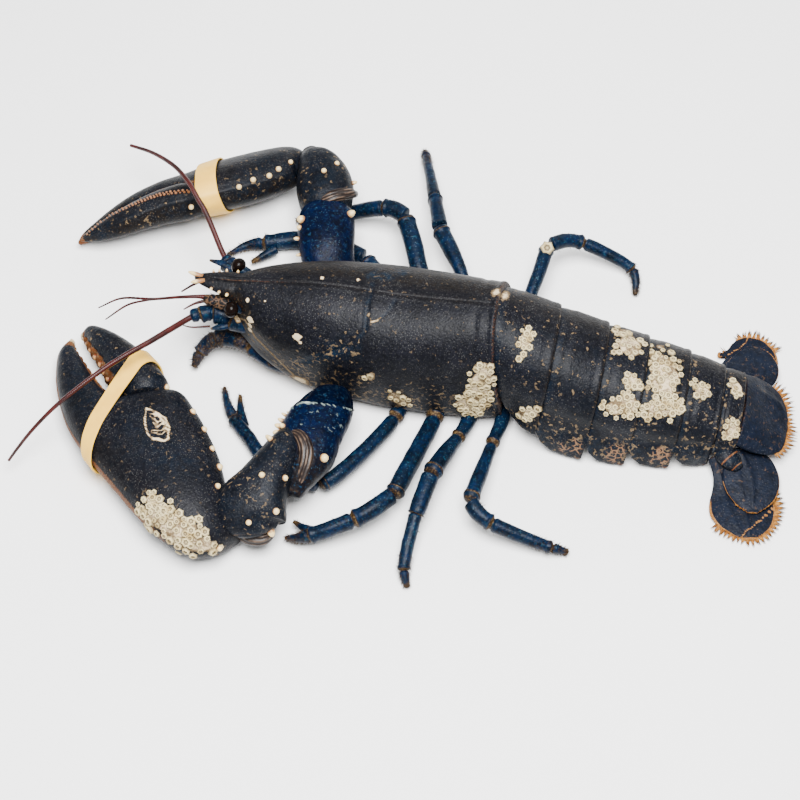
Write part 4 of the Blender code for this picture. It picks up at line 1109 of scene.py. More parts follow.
@dataclass
class Carapace:
    """The shield: rostrum, ridge line, neck groove, rims, flecks and crust."""

    # x, half width, height of widest line, ridge height, half width at margin, margin height
    stations: Rows = (
        (-89.8, 1.0, 45.2, 45.8, 0.8, 44.6), (-87.2, 2.7, 44.8, 46.1, 2.1, 43.5),
        (-83.6, 4.0, 44.3, 46.4, 3.0, 42.6), (-78.0, 5.5, 43.8, 46.8, 4.4, 41.0),
        (-73.4, 6.4, 43.0, 47.1, 5.4, 37.6),
        (-70.4, 8.2, 37.5, 47.6, 8.6, 24.6), (-65.5, 13.0, 33.5, 48.4, 12.0, 20.6),
        (-60.0, 16.6, 31.5, 49.4, 15.6, 17.6), (-52.0, 20.0, 29.8, 50.9, 19.2, 14.2),
        (-43.0, 22.6, 28.6, 52.4, 22.2, 11.6), (-30.0, 25.3, 27.8, 53.9, 24.9, 9.3),
        (-16.0, 26.9, 27.6, 54.1, 26.6, 8.4), (0.0, 27.8, 27.7, 53.8, 27.6, 8.0),
        (18.0, 26.8, 28.4, 55.2, 27.4, 8.0), (35.0, 25.1, 29.2, 56.9, 26.2, 8.8),
        (41.8, 24.4, 29.4, 57.5, 24.8, 10.5),
    )
    rear: float = 41.8
    rear_lean: float = 0.15
    rim: float = 2.4
    belly: float = 12.4
    rings: int = 236
    per_gap: int = 14
    neck_groove: Rows = (
        (-12.6, 0.0, 54.0), (-13.0, -4.7, 53.4), (-12.7, -11.2, 51.6), (-12.2, -16.8, 48.4),
        (-17.7, -22.4, 42.3), (-26.2, -23.7, 38.1), (-35.1, -24.1, 30.3), (-42.0, -22.8, 24.0),
    )
    side_groove: Rows = ((-10.5, -14.1, 50.3), (-8.4, -13.5, 50.7), (-3.7, -8.6, 52.4), (-1.7, -2.7, 53.5))
    front_line: Rows = (
        (-69.8, -9.2, 32.1), (-65.8, -12.3, 36.0), (-60.9, -16.1, 29.6), (-53.8, -19.2, 24.4),
        (-44.8, -21.9, 15.2), (-38.0, -23.4, 9.8),
    )
    socket: Rows = ((-74.0, -6.0, 44.0), (-69.8, -7.3, 44.0), (-66.6, -9.8, 41.4), (-67.2, -11.7, 37.0))
    junction: Rows = ((-11.6, -10.5, 51.9), (-10.4, -14.0, 50.4), (-7.4, -12.6, 51.0), (-6.0, -11.0, 51.6))
    far_mark: Rows = ((-13.7, 8.6, 52.6), (-7.8, 9.6, 52.6), (-3.0, 12.6, 51.6), (-1.0, 16.0, 49.6))
    # Pale spots: x, y, z and radius
    spots: Rows = (
        (-41.3, -20.1, 40.6, 2.2), (-39.6, -21.0, 38.6, 1.2), (-65.0, -8.1, 45.4, 1.0),
        (-57.3, -8.8, 47.6, 0.6), (-63.3, -13.6, 38.6, 1.7), (-63.2, -14.3, 35.6, 1.4),
        (-63.4, -14.6, 32.3, 1.3), (-34.6, 3.5, 53.0, 1.0), (-19.1, 4.8, 53.5, 1.0),
        (-23.5, -27.0, 16.0, 1.2),
    )

    def surface(self) -> Surface:
        """Shell sections along the stations, pressed by the grooves and painted.

        Returns:
            Its surface.
        """
        rings = []
        for x, half, wide_z, ridge, low_half, low in spline(self.stations, self.rings):
            room = ridge - low
            rim = min(self.rim, 0.25 * low_half)
            belly = max(low + min(3.0, 0.1 * room), min(self.belly, low + 0.5 * room))
            loop = arch(0.0, half, wide_z, ridge, low_half, low, rim, belly)
            lean = self.rear_lean * max(x / self.rear, 0.0) ** 2
            rings.append(np.column_stack([x + lean * (ridge - loop[:, 1]), loop]))
        return self.detail(Surface(ring_spline(np.array(rings), self.per_gap)))

    def detail(self, skin: Surface) -> Surface:
        """Relief and masks, worked out from each point's place.

        Args:
            skin: the surface.

        Returns:
            The same surface, pressed and painted.
        """
        points = skin.points
        x, y, z = np.moveaxis(points, -1, 0)
        half = points * np.array([1.0, -1.0, 1.0])
        nearer = np.where((y > 0.0)[..., None], half, points)
        neck, side = off_line(nearer, self.neck_groove), off_line(nearer, self.side_groove)
        upper = ease(30.0, 44.0, z) * (1.0 - ease(0.0, 2.0, y) * (1.0 - hill(z, 52.0, 3.5)))
        seam = hill(y, 0.0, 0.55) * ease(40.0, 46.0, z)
        edge = self.rear + self.rear_lean * (57.0 - z) - x
        furrow = hill(edge, 8.5, 1.6) * ease(28.0, 44.0, z) * ease(1.0, 7.0, np.abs(y))
        front_rim = self.front_rim(skin)
        amount = -0.80 * hill(neck, 0.0, 0.95) * upper + 0.15 * hill(neck, 2.6, 1.4) * upper
        amount -= 0.28 * hill(side, 0.0, 0.8) * (y < 2.0) + 0.34 * seam
        amount -= 0.35 * hill(off_line(nearer, self.neck_groove[4:]), 0.0, 1.0)
        amount += 0.16 * hill(np.abs(y), 1.5, 0.8) * ease(42.0, 46.0, z)
        amount += 0.50 * hill(edge, 0.9, 1.0) * ease(12.0, 20.0, z) - 0.45 * furrow + 0.55 * front_rim
        amount += 0.10 * noise(points, 9.0, 1) + 0.05 * noise(points, 2.6, 2)
        amount += 0.26 * self.gill_swell(points)
        skin.press(amount * ease(-88.0, -76.0, x))
        low = 1.0 - ease(17.0, 33.0, z)
        lower = off_line(points, self.neck_groove[4:])
        skin.paint("fleck", 0.40 * low * ease(-66.0, -40.0, x) + 0.34 * hill(lower, 0.0, 5.0))
        grooves = 0.75 * hill(neck, 0.0, 1.1) * upper + 0.5 * hill(side, 0.0, 0.7) * (y < 2.0)
        skin.paint("blue", grooves + 0.18 * low)
        patches = 0.5 * hill(lower, 0.0, 5.0) * (noise(points, 4.0, 8) > 0.0)
        skin.paint("blue", 1.0 * hill(lower, 0.0, 1.7) + patches)
        line = drawn(skin, self.neck_groove[4:]) + 0.4 * noise(points, 1.6, 14)
        skin.paint("crust", 0.52 * hill(line, 0.0, 0.40) * (noise(points, 3.4, 15) > -0.15))
        skin.paint("crust", 0.75 * hill(drawn(skin, self.junction) + 0.3 * noise(points, 1.5, 10), 0.0, 0.55))
        skin.paint("brown", 0.85 * ease(1.0, 9.0, y) + 0.5 * hill(y, 0.0, 2.0) * ease(40.0, 46.0, z))
        beak_line = 0.45 * hill(y, 0.0, 0.5) * ease(46, 47, z) * ease(-30, -60, x)
        skin.paint("warm", 0.42 * hill(edge, 0.2, 0.7) + beak_line)
        rim = drawn(skin, self.front_line)
        skin.paint("crust", 0.66 * hill(rim, 0.0, 0.7) + 0.50 * hill(rim, 2.0, 0.5))
        skin.paint("brown", 0.9 * hill(rim, 1.0, 1.8))
        socket = drawn(skin, self.socket)
        skin.paint("brown", 1.0 - ease(2.0, 3.4, socket)).paint("warm", 0.32 * (1.0 - ease(0.6, 2.4, socket)))
        skin.paint("crust", 0.9 * hill(x, -40.0, 6.0) * (1.0 - ease(13.0, 18.0, z)) * ease(10.0, 20.0, -y))
        skin.paint("crust", 0.9 * hill(edge, 1.5, 2.6) * hill(y, 6.5, 3.6) * ease(40.0, 50.0, z))
        marked = (noise(points, 3.0, 9) > 0.1) * upper
        skin.paint("crust", 0.50 * hill(side, 0.0, 0.35) * (y < -8.0) + 0.62 * hill(neck, 0.0, 0.55) * marked)
        crescent = off_line(points, self.far_mark)
        skin.paint("crust", 0.62 * hill(crescent, 0.0, 0.5)).paint("blue", 0.9 * hill(crescent, 1.2, 1.6))
        for *spot, radius in self.spots:
            away = np.linalg.norm(points - np.array(spot), axis=-1) * (1.0 + 0.35 * noise(points, 1.3, 4))
            skin.paint("crust", 1.0 - ease(0.8 * radius, 1.15 * radius, away))
        return skin.paint("crust", cluster_crust(points, clusters_on("carapace")))

    def front_rim(self, skin: Surface) -> Array:
        """Strip along the lower front edge, by the point's place in the 22 gaps of its ring.

        Args:
            skin: the surface.

        Returns:
            The strip's strength at each point.
        """
        size, x = skin.points.shape[1], skin.points[..., 0]
        place = np.arange(size) / size * 22.0
        strip = hill(place, 0.25, 0.5) + hill(place, 16.0 - 0.25, 0.5) + hill(place, 22.0, 0.5)
        return strip[None] * (1.0 - ease(-34.0, -22.0, x)) * ease(-72.0, -68.0, x)

    def gill_swell(self, points: Array) -> Array:
        """Slight swelling of each flank behind the neck groove."""
        x, y, z = np.moveaxis(points, -1, 0)
        return hill(x, 12.0, 22.0) * hill(z, 40.0, 10.0) * ease(8.0, 16.0, np.abs(y))

    def build(self) -> bpy.types.Object:
        """The shield as one piece."""
        return register(self.surface().build("carapace_shell", SHELL), "shell", "carapace")


@dataclass
class Abdomen:
    """Six shell rings, each tucked under the one before, with a flap on each side."""

    carapace_rear: float = 41.8
    rears: Sequence[float] = (69.0, 90.5, 108.5, 127.0, 142.5, 151.5)
    # x, y of the middle, half width, height of widest line, ridge height, half span of the flaps
    stations: Rows = (
        (42.0, 0.0, 24.0, 29.0, 56.3, 24.4), (56.0, -2.0, 25.6, 27.0, 51.5, 26.5),
        (70.0, -3.8, 26.3, 24.0, 48.0, 30.5), (90.0, -5.6, 26.2, 20.0, 42.2, 31.0),
        (108.0, -6.5, 25.6, 17.5, 37.8, 29.6), (127.0, -7.0, 23.4, 15.5, 33.0, 27.2),
        (143.0, -7.2, 20.6, 13.5, 27.0, 22.6), (153.0, -7.2, 19.2, 12.0, 23.0, 20.4),
    )
    flap_tips: Sequence[float] = (12.0, 3.0, 2.4, 2.4, 2.8, 5.5)
    # Share of a ring's length, inward step, lift of the flap's tip
    profile: Rows = (
        (-0.10, 2.2, 11.5), (0.0, 1.15, 10.0), (0.12, 0.6, 5.4), (0.34, 0.1, 1.7), (0.7, 0.0, 0.0),
        (0.93, -0.15, 0.4), (1.0, 0.0, 1.2),
    )
    flap_room: float = 2.0
    lean: float = 0.12
    front_lean: float = -0.15
    flap_thickness: float = 2.2
    belly: float = 8.0
    rings: int = 46
    per_gap: int = 12

    def surface(self, number: int) -> Surface:
        """One ring: shell sections whose edge steps in and lifts towards the front.

        Args:
            number: which ring, counted from 0.

        Returns:
            Its surface.
        """
        rear = self.rears[number]
        front = self.rears[number - 1] if number else self.carapace_rear + 0.2
        table, profile = np.array(self.stations), np.array(self.profile)
        rings = []
        for share in np.linspace(profile[0, 0], 1.0, self.rings):
            x = front + 0.4 + (rear - front - 0.4) * share
            middle, half, wide_z, ridge, span = (np.interp(x, table[:, 0], table[:, k]) for k in range(1, 6))
            inset, lift = (np.interp(share, profile[:, 0], profile[:, k]) for k in (1, 2))
            tip = min(self.flap_tips[number] + lift, wide_z - self.flap_room)
            belly = max(self.belly, tip + 1.5)
            loop = arch(
                middle, half - inset, wide_z, ridge - inset, span - inset, tip, self.flap_thickness, belly
            )
            lean = self.lean if number else self.lean * share + self.front_lean * (1.0 - share)
            rings.append(np.column_stack([x + lean * (loop[:, 1] - ridge), loop]))
        return self.detail(Surface(ring_spline(np.array(rings), self.per_gap)), number)

    def detail(self, skin: Surface, number: int) -> Surface:
        """Cross furrow, rear lip, flap boss, flecks, net patches and crust.

        Args:
            skin: the surface.
            number: which ring, counted from 0.

        Returns:
            The same surface, pressed and painted.
        """
        points, share = skin.points, skin.along * 1.1 - 0.1
        y, z = points[..., 1], points[..., 2]
        back = ease(14.0, 26.0, z)
        flap = 1.0 - ease(12.0, 19.0, z)
        amount = -0.15 * hill(share, 0.20, 0.08) * back + 0.18 * hill(share, 0.95, 0.04)
        amount += -0.14 * hill(share, 0.84, 0.05) + 0.85 * flap * hill(share, 0.62, 0.22) * hill(z, 10.0, 4.5)
        amount -= 0.35 * hill(z, 15.5, 1.6) * ease(0.15, 0.35, share) * (1.0 - ease(0.75, 0.95, share))
        amount += 0.10 * noise(points, 8.0, 11) + 0.06 * noise(points, 2.2, 12)
        skin.press(amount)
        skin.paint("brown", hill(share, 0.985, 0.03)).paint("warm", 0.38 * hill(share, 0.995, 0.015) * back)
        skin.paint("warm", 0.60 * (1.0 - ease(3.0, 5.5, z)) * ease(0.7, 0.95, share))
        skin.paint("fleck", 0.03 + 0.30 * ease(0.2, 0.6, 1.0 - z / 36.0) * (noise(points, 7.0, 21) > -0.35))
        skin.paint("blue", 0.25 * flap + 0.30 * hill(share, 0.04, 0.06) + 0.10 * (y < -5.0))
        skin.paint("brown", 0.6 * ease(-1.0, 8.0, y))
        if number in (1, 2, 3):
            reach = ease(0.35, 0.60, hill(share, 0.74, 0.26) * hill(z, 9.0, 6.0))
            skin.paint("net", reach * (noise(points, 3.4, 31 + number) > -0.20))
        if number == 0:
            skin.paint("crust", 0.85 * hill(share, 0.05, 0.10) * hill(y, 8.0, 5.0) * ease(30.0, 44.0, z))
        else:
            dashes = (noise(points, 2.4, 41) > 0.45) * ease(14, 22, z)
            skin.paint("crust", 0.55 * hill(share, 0.10, 0.12) * dashes)
        return skin.paint("crust", cluster_crust(points, clusters_on(f"abdomen_{number + 1}")))

    def build(self) -> list[bpy.types.Object]:
        """All six rings.

        Returns:
            The rings' objects, from front to rear.
        """
        made = []
        for number in range(len(self.rears)):
            name = f"abdomen_{number + 1}"
            made.append(register(self.surface(number).build(name + "_shell", SHELL), "shell", name))
        return made


@dataclass
class TailFan:
    """Telson and four leaves, each with a fringe of bristles."""

    telson: Rows = (
        (150.0, -7.2, 15.4, 18.0, 6.6), (157.0, -7.0, 12.4, 19.2, 4.6), (163.0, -6.4, 9.8, 18.6, 3.0),
        (168.0, -5.8, 7.8, 15.4, 2.0), (170.6, -5.5, 6.8, 10.0, 1.4), (171.8, -5.4, 6.4, 4.0, 0.8),
    )
    left_inner: Rows = (
        (151.5, -23.0, 7.2, 4.5, 2.0), (155.5, -28.0, 6.4, 10.4, 1.5), (159.0, -35.0, 5.6, 12.2, 1.3),
        (160.5, -42.0, 4.9, 10.8, 1.1), (161.2, -47.5, 4.4, 7.0, 0.9), (161.6, -50.8, 4.1, 2.2, 0.6),
    )
    left_outer: Rows = (
        (143.4, -27.4, 6.8, 4.2, 2.5), (147.5, -33.0, 3.6, 5.5, 1.7), (152.8, -40.0, 2.1, 11.5, 1.2),
        (157.0, -48.0, 1.9, 14.4, 1.1), (160.0, -55.5, 1.7, 12.0, 1.0), (161.4, -60.4, 1.6, 7.0, 0.8),
        (162.0, -62.8, 1.5, 2.2, 0.6),
    )
    right_inner: Rows = (
        (149.5, 9.0, 8.2, 4.5, 2.0), (151.8, 14.0, 7.2, 10.0, 1.5), (153.8, 20.5, 6.2, 11.8, 1.3),
        (153.6, 26.5, 5.4, 9.8, 1.1), (152.6, 31.0, 4.9, 5.6, 0.9), (152.0, 33.0, 4.6, 2.0, 0.6),
    )
    right_outer: Rows = (
        (140.5, 13.5, 7.0, 4.4, 2.6), (143.5, 18.0, 3.8, 5.5, 1.7), (149.0, 22.0, 2.3, 11.5, 1.2),
        (151.5, 27.5, 2.1, 13.6, 1.1), (150.2, 33.5, 1.9, 10.8, 1.0), (148.4, 37.2, 1.8, 5.8, 0.8),
        (147.4, 39.0, 1.7, 2.0, 0.6),
    )
    seed: int = 21
    fringe_length: float = 6.4
    fringe_spacing: float = 0.15
    fringe_thickness: float = 0.28
    inner_start: float = 0.55
    telson_start: float = 0.50
    fringe_start: dict[str, float] = field(
        default_factory=lambda: {"uropod_left_outer": 0.30, "uropod_right_outer": 0.58}
    )
    inner_share: float = 0.22
    clump: float = 1.9
    # Swollen foot of the left leaves: x, y, z, half width, half height
    foot: Rows = (
        (144.0, -23.0, 9.6, 3.0, 2.6), (146.6, -27.0, 9.8, 4.8, 3.2), (150.0, -30.0, 9.2, 4.4, 2.8),
        (153.0, -32.4, 8.2, 2.4, 1.6),
    )

    def leaf(self, rows: Rows, outer: bool) -> Surface:
        """A thin leaf with a raised rib, a bent-up edge and, on outer leaves, a cross seam.

        Args:
            rows: the stations.
            outer: whether it is an outer leaf.

        Returns:
            Its surface.
        """
        skin = limb(rows, 84, 72, 1.0, 0.4)
        across, share = np.cos(skin.turn), skin.along
        top = ease(0.0, 0.4, np.sin(skin.turn))
        rib = hill(across, 0.0, 0.07) * ease(0.04, 0.16, share) * (1.0 - ease(0.72, 0.9, share))
        second = hill(across, 0.42, 0.06) * ease(0.1, 0.2, share) * (1.0 - ease(0.6, 0.8, share))
        edge = hill(np.abs(across), 0.93, 0.05) + hill(share, 0.96, 0.03)
        amount = top * (0.55 * rib + 0.25 * second + 0.22 * edge) + 0.04 * noise(skin.points, 2.0, 3)
        seam_at = 0.74 + 0.20 * across
        if outer:
            amount -= top * 0.35 * hill(share, seam_at, 0.012)
            skin.paint("warm", 0.95 * top * hill(share, seam_at + 0.008 * np.sin(60.0 * across), 0.012))
        skin.press(amount)
        rim = 0.91 if outer else 0.965
        skin.paint("warm", 0.9 * ease(rim, rim + 0.03, np.abs(across)) * ease(0.30, 0.45, share))
        skin.paint("warm", 0.9 * ease(rim, rim + 0.02, share) + 0.45 * (1.0 - ease(0.0, 0.10, share)))
        skin.paint("blue", 0.3 + 0.3 * noise(skin.points, 5.0, 6))
        return skin.paint("fleck", 0.03 + 0.4 * (1.0 - ease(0.0, 0.25, share)))

    def fringe(
        self, skin: Surface, start: float, facing: Array, draw: np.random.Generator
    ) -> tuple[Array, Array]:
        """Roots and tips of the bristles along the leaf's margin.

        Args:
            skin: the leaf's surface.
            start: share of the leaf's length from which its two edges carry bristles.
            facing: direction that the fringed part of the margin looks in.
            draw: random numbers.

        Returns:
            Roots and tips. Bristles of one clump lean towards one point, which makes the fringe a saw.
        """
        size = skin.points.shape[1]
        first = int(start * len(skin.points))
        edge_a, edge_b = skin.points[first:, 0], skin.points[first:, size // 2]
        line = np.vstack([edge_a, edge_b[::-1]])
        middle = line.mean(axis=0)
        length = travelled(line)
        places = np.arange(0.0, length[-1], self.fringe_spacing)
        roots = np.column_stack([np.interp(places, length, line[:, k]) for k in range(3)])
        ahead = unit(np.gradient(roots, axis=0))
        outward = unit(np.cross(ahead, UP))
        outward = outward * np.sign(((roots - middle) * outward).sum(axis=1, keepdims=True))
        kept = outward @ unit(facing) > -0.25
        phase = places / self.clump + 0.25 * noise(roots, 3.0, 7)
        off_tip = (np.floor(phase) + 0.5 - phase) * self.clump
        notch = 1.0 - 0.55 * np.abs(off_tip) / self.clump
        grown = self.fringe_length * (0.72 + 0.28 * noise(roots, 6.0, 8)) * notch
        tips = roots + outward * (grown * draw.uniform(0.75, 1.05, len(roots)))[:, None] + ahead * (
            0.75 * off_tip + draw.uniform(-0.12, 0.12, len(roots))
        )[:, None]
        sunk = roots - outward * 0.5 + UP * draw.uniform(-0.25, 0.35, len(roots))[:, None]
        return sunk[kept], tips[kept]

    def build(self) -> None:
        """Leaves, telson and their fringes."""
        draw = np.random.default_rng(self.seed)
        leaves = {
            "uropod_left_inner": (self.left_inner, False), "uropod_left_outer": (self.left_outer, True),
            "uropod_right_inner": (self.right_inner, False), "uropod_right_outer": (self.right_outer, True),
        }
        fringe = Tuft()
        for name, (rows, outer) in leaves.items():
            skin = self.leaf(rows, outer)
            register(skin.build(name + "_leaf", FAN), "fan", name)
            side = -1.0 if "left" in name else 1.0
            start = self.fringe_start[name] if outer else self.inner_start
            roots, tips = self.fringe(skin, start, np.array([1.0, 0.55 * side, 0.0]), draw)
            fringe.add(roots, tips if outer else roots + self.inner_share * (tips - roots))
        foot = limb(self.foot, 60, 40, 1.0, 1.2)
        foot.press(0.35 * noise(foot.points, 3.0, 17)).paint("blue", 0.4)
        foot.paint("warm", 0.8 * hill(foot.along, 0.55, 0.03) + 0.8 * hill(foot.along, 0.88, 0.03))
        register(foot.build("leaf_foot", SHELL), "shell")
        skin = self.telson_skin()
        register(skin.build("telson_plate", FAN), "fan", "telson")
        fringe.add(*self.fringe(skin, self.telson_start, np.array([1.0, 0.0, 0.0]), draw))
        register(fringe.build("tail_fringe", self.fringe_thickness, BRISTLE), "bristle")

    def telson_skin(self) -> Surface:
        """The middle plate: two low keels, a rim, and dull scratches.

        Returns:
            Its surface.
        """
        skin = limb(self.telson, 90, 84, 0.96, 0.4)
        across, share = np.cos(skin.turn), skin.along
        top = ease(0.0, 0.4, np.sin(skin.turn))
        keels = hill(np.abs(across), 0.5, 0.09) * ease(0.1, 0.3, share) * (1.0 - ease(0.55, 0.8, share))
        skin.press(top * (0.45 * keels - 0.35 * hill(across, 0.0, 0.25)) + 0.10 * noise(skin.points, 3.0, 15))
        skin.paint("warm", 0.9 * ease(0.94, 0.97, np.abs(across)) * ease(0.55, 0.7, share))
        skin.paint("warm", 0.9 * ease(0.94, 0.97, share) + 0.35 * (1.0 - ease(0.03, 0.09, share)))
        skin.paint("blue", 0.25 + 0.2 * noise(skin.points, 4.0, 16))
        return skin.paint("fleck", 0.08)


# Small repeated things


def scattered(
    name: str, profile: Rows, around: int, places: Array, outward: Array, sizes: Array, finish: Finish,
    mask: str, lobes: float = 0.0, turns: Array | None = None,
) -> bpy.types.Object:
    """Turned shapes set on a surface and joined in one mesh.

    Args:
        name: the object's name.
        profile: radius, height and mask value from the foot to the top, in the shape's own units.
        around: points round each shape.
        places: feet of the shapes.
        outward: the direction each stands in.
        sizes: scale of radius and height, one row for each shape.
        finish: what it is made of.
        mask: the mask that the profile's third column sets.
        lobes: how far six lobes stand out of the outline, as a share of the radius.
        turns: angle of each shape round its own axis.

    Returns:
        The object: each point is foot + radius * round direction + height * outward.
    """
    profile = np.asarray(profile, float)
    across = unit(np.cross(outward, UP + np.array([0.31, 0.17, 0.0])))
    above = np.cross(outward, across)
    turn = circle(around)
    spin = turn[None] + (np.zeros(len(places)) if turns is None else turns)[:, None]
    wave = 1.0 + lobes * np.cos(6.0 * turn)
    ring = np.cos(spin)[..., None] * across[:, None] + np.sin(spin)[..., None] * above[:, None]
    ring = ring * wave[None, :, None]
    radius = sizes[:, 0, None] * profile[None, :, 0]
    height = sizes[:, 1, None] * profile[None, :, 1]
    points = places[:, None, None] + radius[..., None, None] * ring[:, None]
    points = points + height[..., None, None] * outward[:, None, None]
    count, steps = len(places), len(profile)
    foot, top = places + outward * height[:, :1], places + outward * height[:, -1:]
    flat = np.concatenate([points.reshape(count, -1, 3), foot[:, None], top[:, None]], axis=1)
    j, k = np.meshgrid(np.arange(steps - 1), np.arange(around), indexing="ij")
    after = (k + 1) % around
    quads = np.stack([j * around + k, j * around + after, (j + 1) * around + after, (j + 1) * around + k], -1)
    spots = np.arange(around)
    following = (spots + 1) % around
    total = steps * around
    under = np.column_stack([np.full(around, total), following, spots])
    over = np.column_stack([np.full(around, total + 1), total - around + spots, total - around + following])
    offsets = (np.arange(count) * (total + 2))[:, None, None]
    faces = [(quads.reshape(1, -1, 4) + offsets).reshape(-1, 4)]
    faces += [(rows[None] + offsets).reshape(-1, 3) for rows in (under, over)]
    level = np.concatenate([np.repeat(profile[:, 2], around), [profile[0, 2], profile[-1, 2]]])
    return mesh_object(name, flat.reshape(-1, 3), faces, finish, {mask: np.tile(level, count)})


class Ground:
    """Finds where a line thrown from the shown side meets a finished piece."""

    def __init__(self, piece: bpy.types.Object) -> None:
        """Reads the piece's faces once."""
        self.tree = BVHTree.FromObject(piece, bpy.context.evaluated_depsgraph_get())

    def hit(self, spot: Array, direction: Array = SHOWN_SIDE) -> tuple[Array, Array] | None:
        """Place and outward normal where the line through the spot meets the piece, or None.

        Args:
            spot: a place on the line.
            direction: where the line comes from.

        Returns:
            The place and the normal, or None.
        """
        out = unit(direction)
        start = Vector((np.asarray(spot) + THROW * out) * MM)
        place, normal, _, _ = self.tree.ray_cast(start, Vector(-out))
        return None if place is None else (np.array(place) / MM, np.array(normal))

    def nearest(self, spot: Array) -> tuple[Array, Array]:
        """Nearest place on the piece and its outward normal."""
        place, normal, _, _ = self.tree.find_nearest(Vector(np.asarray(spot) * MM))
        return np.array(place) / MM, np.array(normal)


# Claws


@dataclass
class Knob:
    """A knob or spine: the node that carries it, a point near it, its radius and its height."""

    node: str
    spot: tuple[float, float, float]
    radius: float
    height: float
    toward: tuple[float, float, float] | None = None


KNOBS = (
    Knob("carapace", (-89.6, 1.6, 46.6), 1.3, 4.2, (-1.0, 0.12, 0.16)),
    Knob("carapace", (-87.8, -2.4, 46.0), 1.2, 3.8, (-1.0, -0.35, 0.05)),
    Knob("carapace", (-82.0, -5.0, 45.0), 0.8, 1.5),
    Knob("carapace", (-78.4, -6.4, 45.0), 0.8, 1.5),
    Knob("carapace", (-74.8, -7.4, 45.0), 0.9, 1.7),
    Knob("carapace", (-83.0, 5.0, 45.0), 0.7, 1.4),
    Knob("carapace", (-80.6, 6.0, 45.0), 0.7, 1.4),
    Knob("carapace", (-77.4, 6.6, 45.0), 0.7, 1.4),
    Knob("carapace", (-72.6, 8.0, 44.0), 0.8, 1.4),
    Knob("crusher_palm", (-81.2, -52.2, 19.5), 1.7, 1.6),
    Knob("crusher_palm", (-74.6, -59.8, 19.0), 1.7, 1.6),
    Knob("crusher_palm", (-68.9, -69.9, 20.9), 1.6, 1.5),
    Knob("crusher_palm", (-64.4, -76.5, 18.0), 1.9, 1.8),
    Knob("crusher_palm", (-62.4, -88.2, 22.0), 1.6, 1.5),
    Knob("crusher_palm", (-57.0, -112.0, 12.5), 1.6, 1.4),
    Knob("crusher_finger", (-95.6, -40.2, 17.0), 1.8, 1.5),
    Knob("crusher_carpus", (-43.6, -85.2, 31.5), 1.6, 1.5),
    Knob("crusher_carpus", (-34.4, -82.9, 28.0), 1.6, 1.5),
    Knob("crusher_carpus", (-35.4, -97.0, 24.0), 1.7, 1.6),
    Knob("crusher_carpus", (-46.0, -102.7, 21.3), 1.5, 1.4),
    Knob("crusher_carpus", (-37.0, -102.4, 16.0), 2.0, 2.6),
    Knob("crusher_carpus", (-44.4, -66.0, 30.5), 1.3, 2.0),
    Knob("crusher_merus", (-20.3, -69.6, 26.7), 2.2, 2.2),
    Knob("crusher_merus", (-40.0, -48.5, 21.0), 0.9, 2.4),
    Knob("crusher_merus", (-42.0, -52.0, 23.0), 1.2, 2.4),
    Knob("crusher_merus", (-43.0, -55.5, 24.0), 1.5, 2.6),
    Knob("crusher_merus", (-43.5, -59.0, 24.0), 1.7, 2.7),
    Knob("crusher_merus", (-40.0, -57.5, 27.0), 1.4, 2.2),
    Knob("crusher_carpus", (-46.6, -62.0, 25.0), 1.5, 2.4),
    Knob("crusher_merus", (-41.0, -45.0, 19.0), 0.8, 2.0),
    Knob("cutter_finger", (-104.9, 52.7, 23.3), 1.5, 1.4),
    Knob("cutter_palm", (-86.0, 69.3, 20.2), 1.5, 1.4),
    Knob("cutter_palm", (-80.4, 73.7, 21.1), 1.6, 1.5),
    Knob("cutter_palm", (-73.8, 77.5, 20.8), 1.6, 1.5),
    Knob("cutter_palm", (-70.3, 81.3, 21.8), 1.6, 1.5),
    Knob("cutter_palm", (-65.8, 86.4, 21.6), 1.4, 1.3),
    Knob("cutter_carpus", (-48.4, 77.1, 31.3), 1.5, 1.4),
    Knob("cutter_carpus", (-43.9, 84.3, 28.4), 1.4, 1.3),
    Knob("cutter_carpus", (-34.0, 79.0, 24.0), 1.2, 2.2),
    Knob("cutter_merus", (-53.9, 52.7, 25.4), 2.2, 2.4),
    Knob("cutter_merus", (-54.1, 48.9, 24.4), 1.5, 1.6),
    Knob("cutter_merus", (-53.8, 43.4, 23.6), 1.1, 2.2),
    Knob("cutter_merus", (-33.5, 61.0, 23.0), 2.0, 2.8),
    Knob("cutter_merus", (-51.6, 37.6, 20.0), 1.0, 2.0),
)


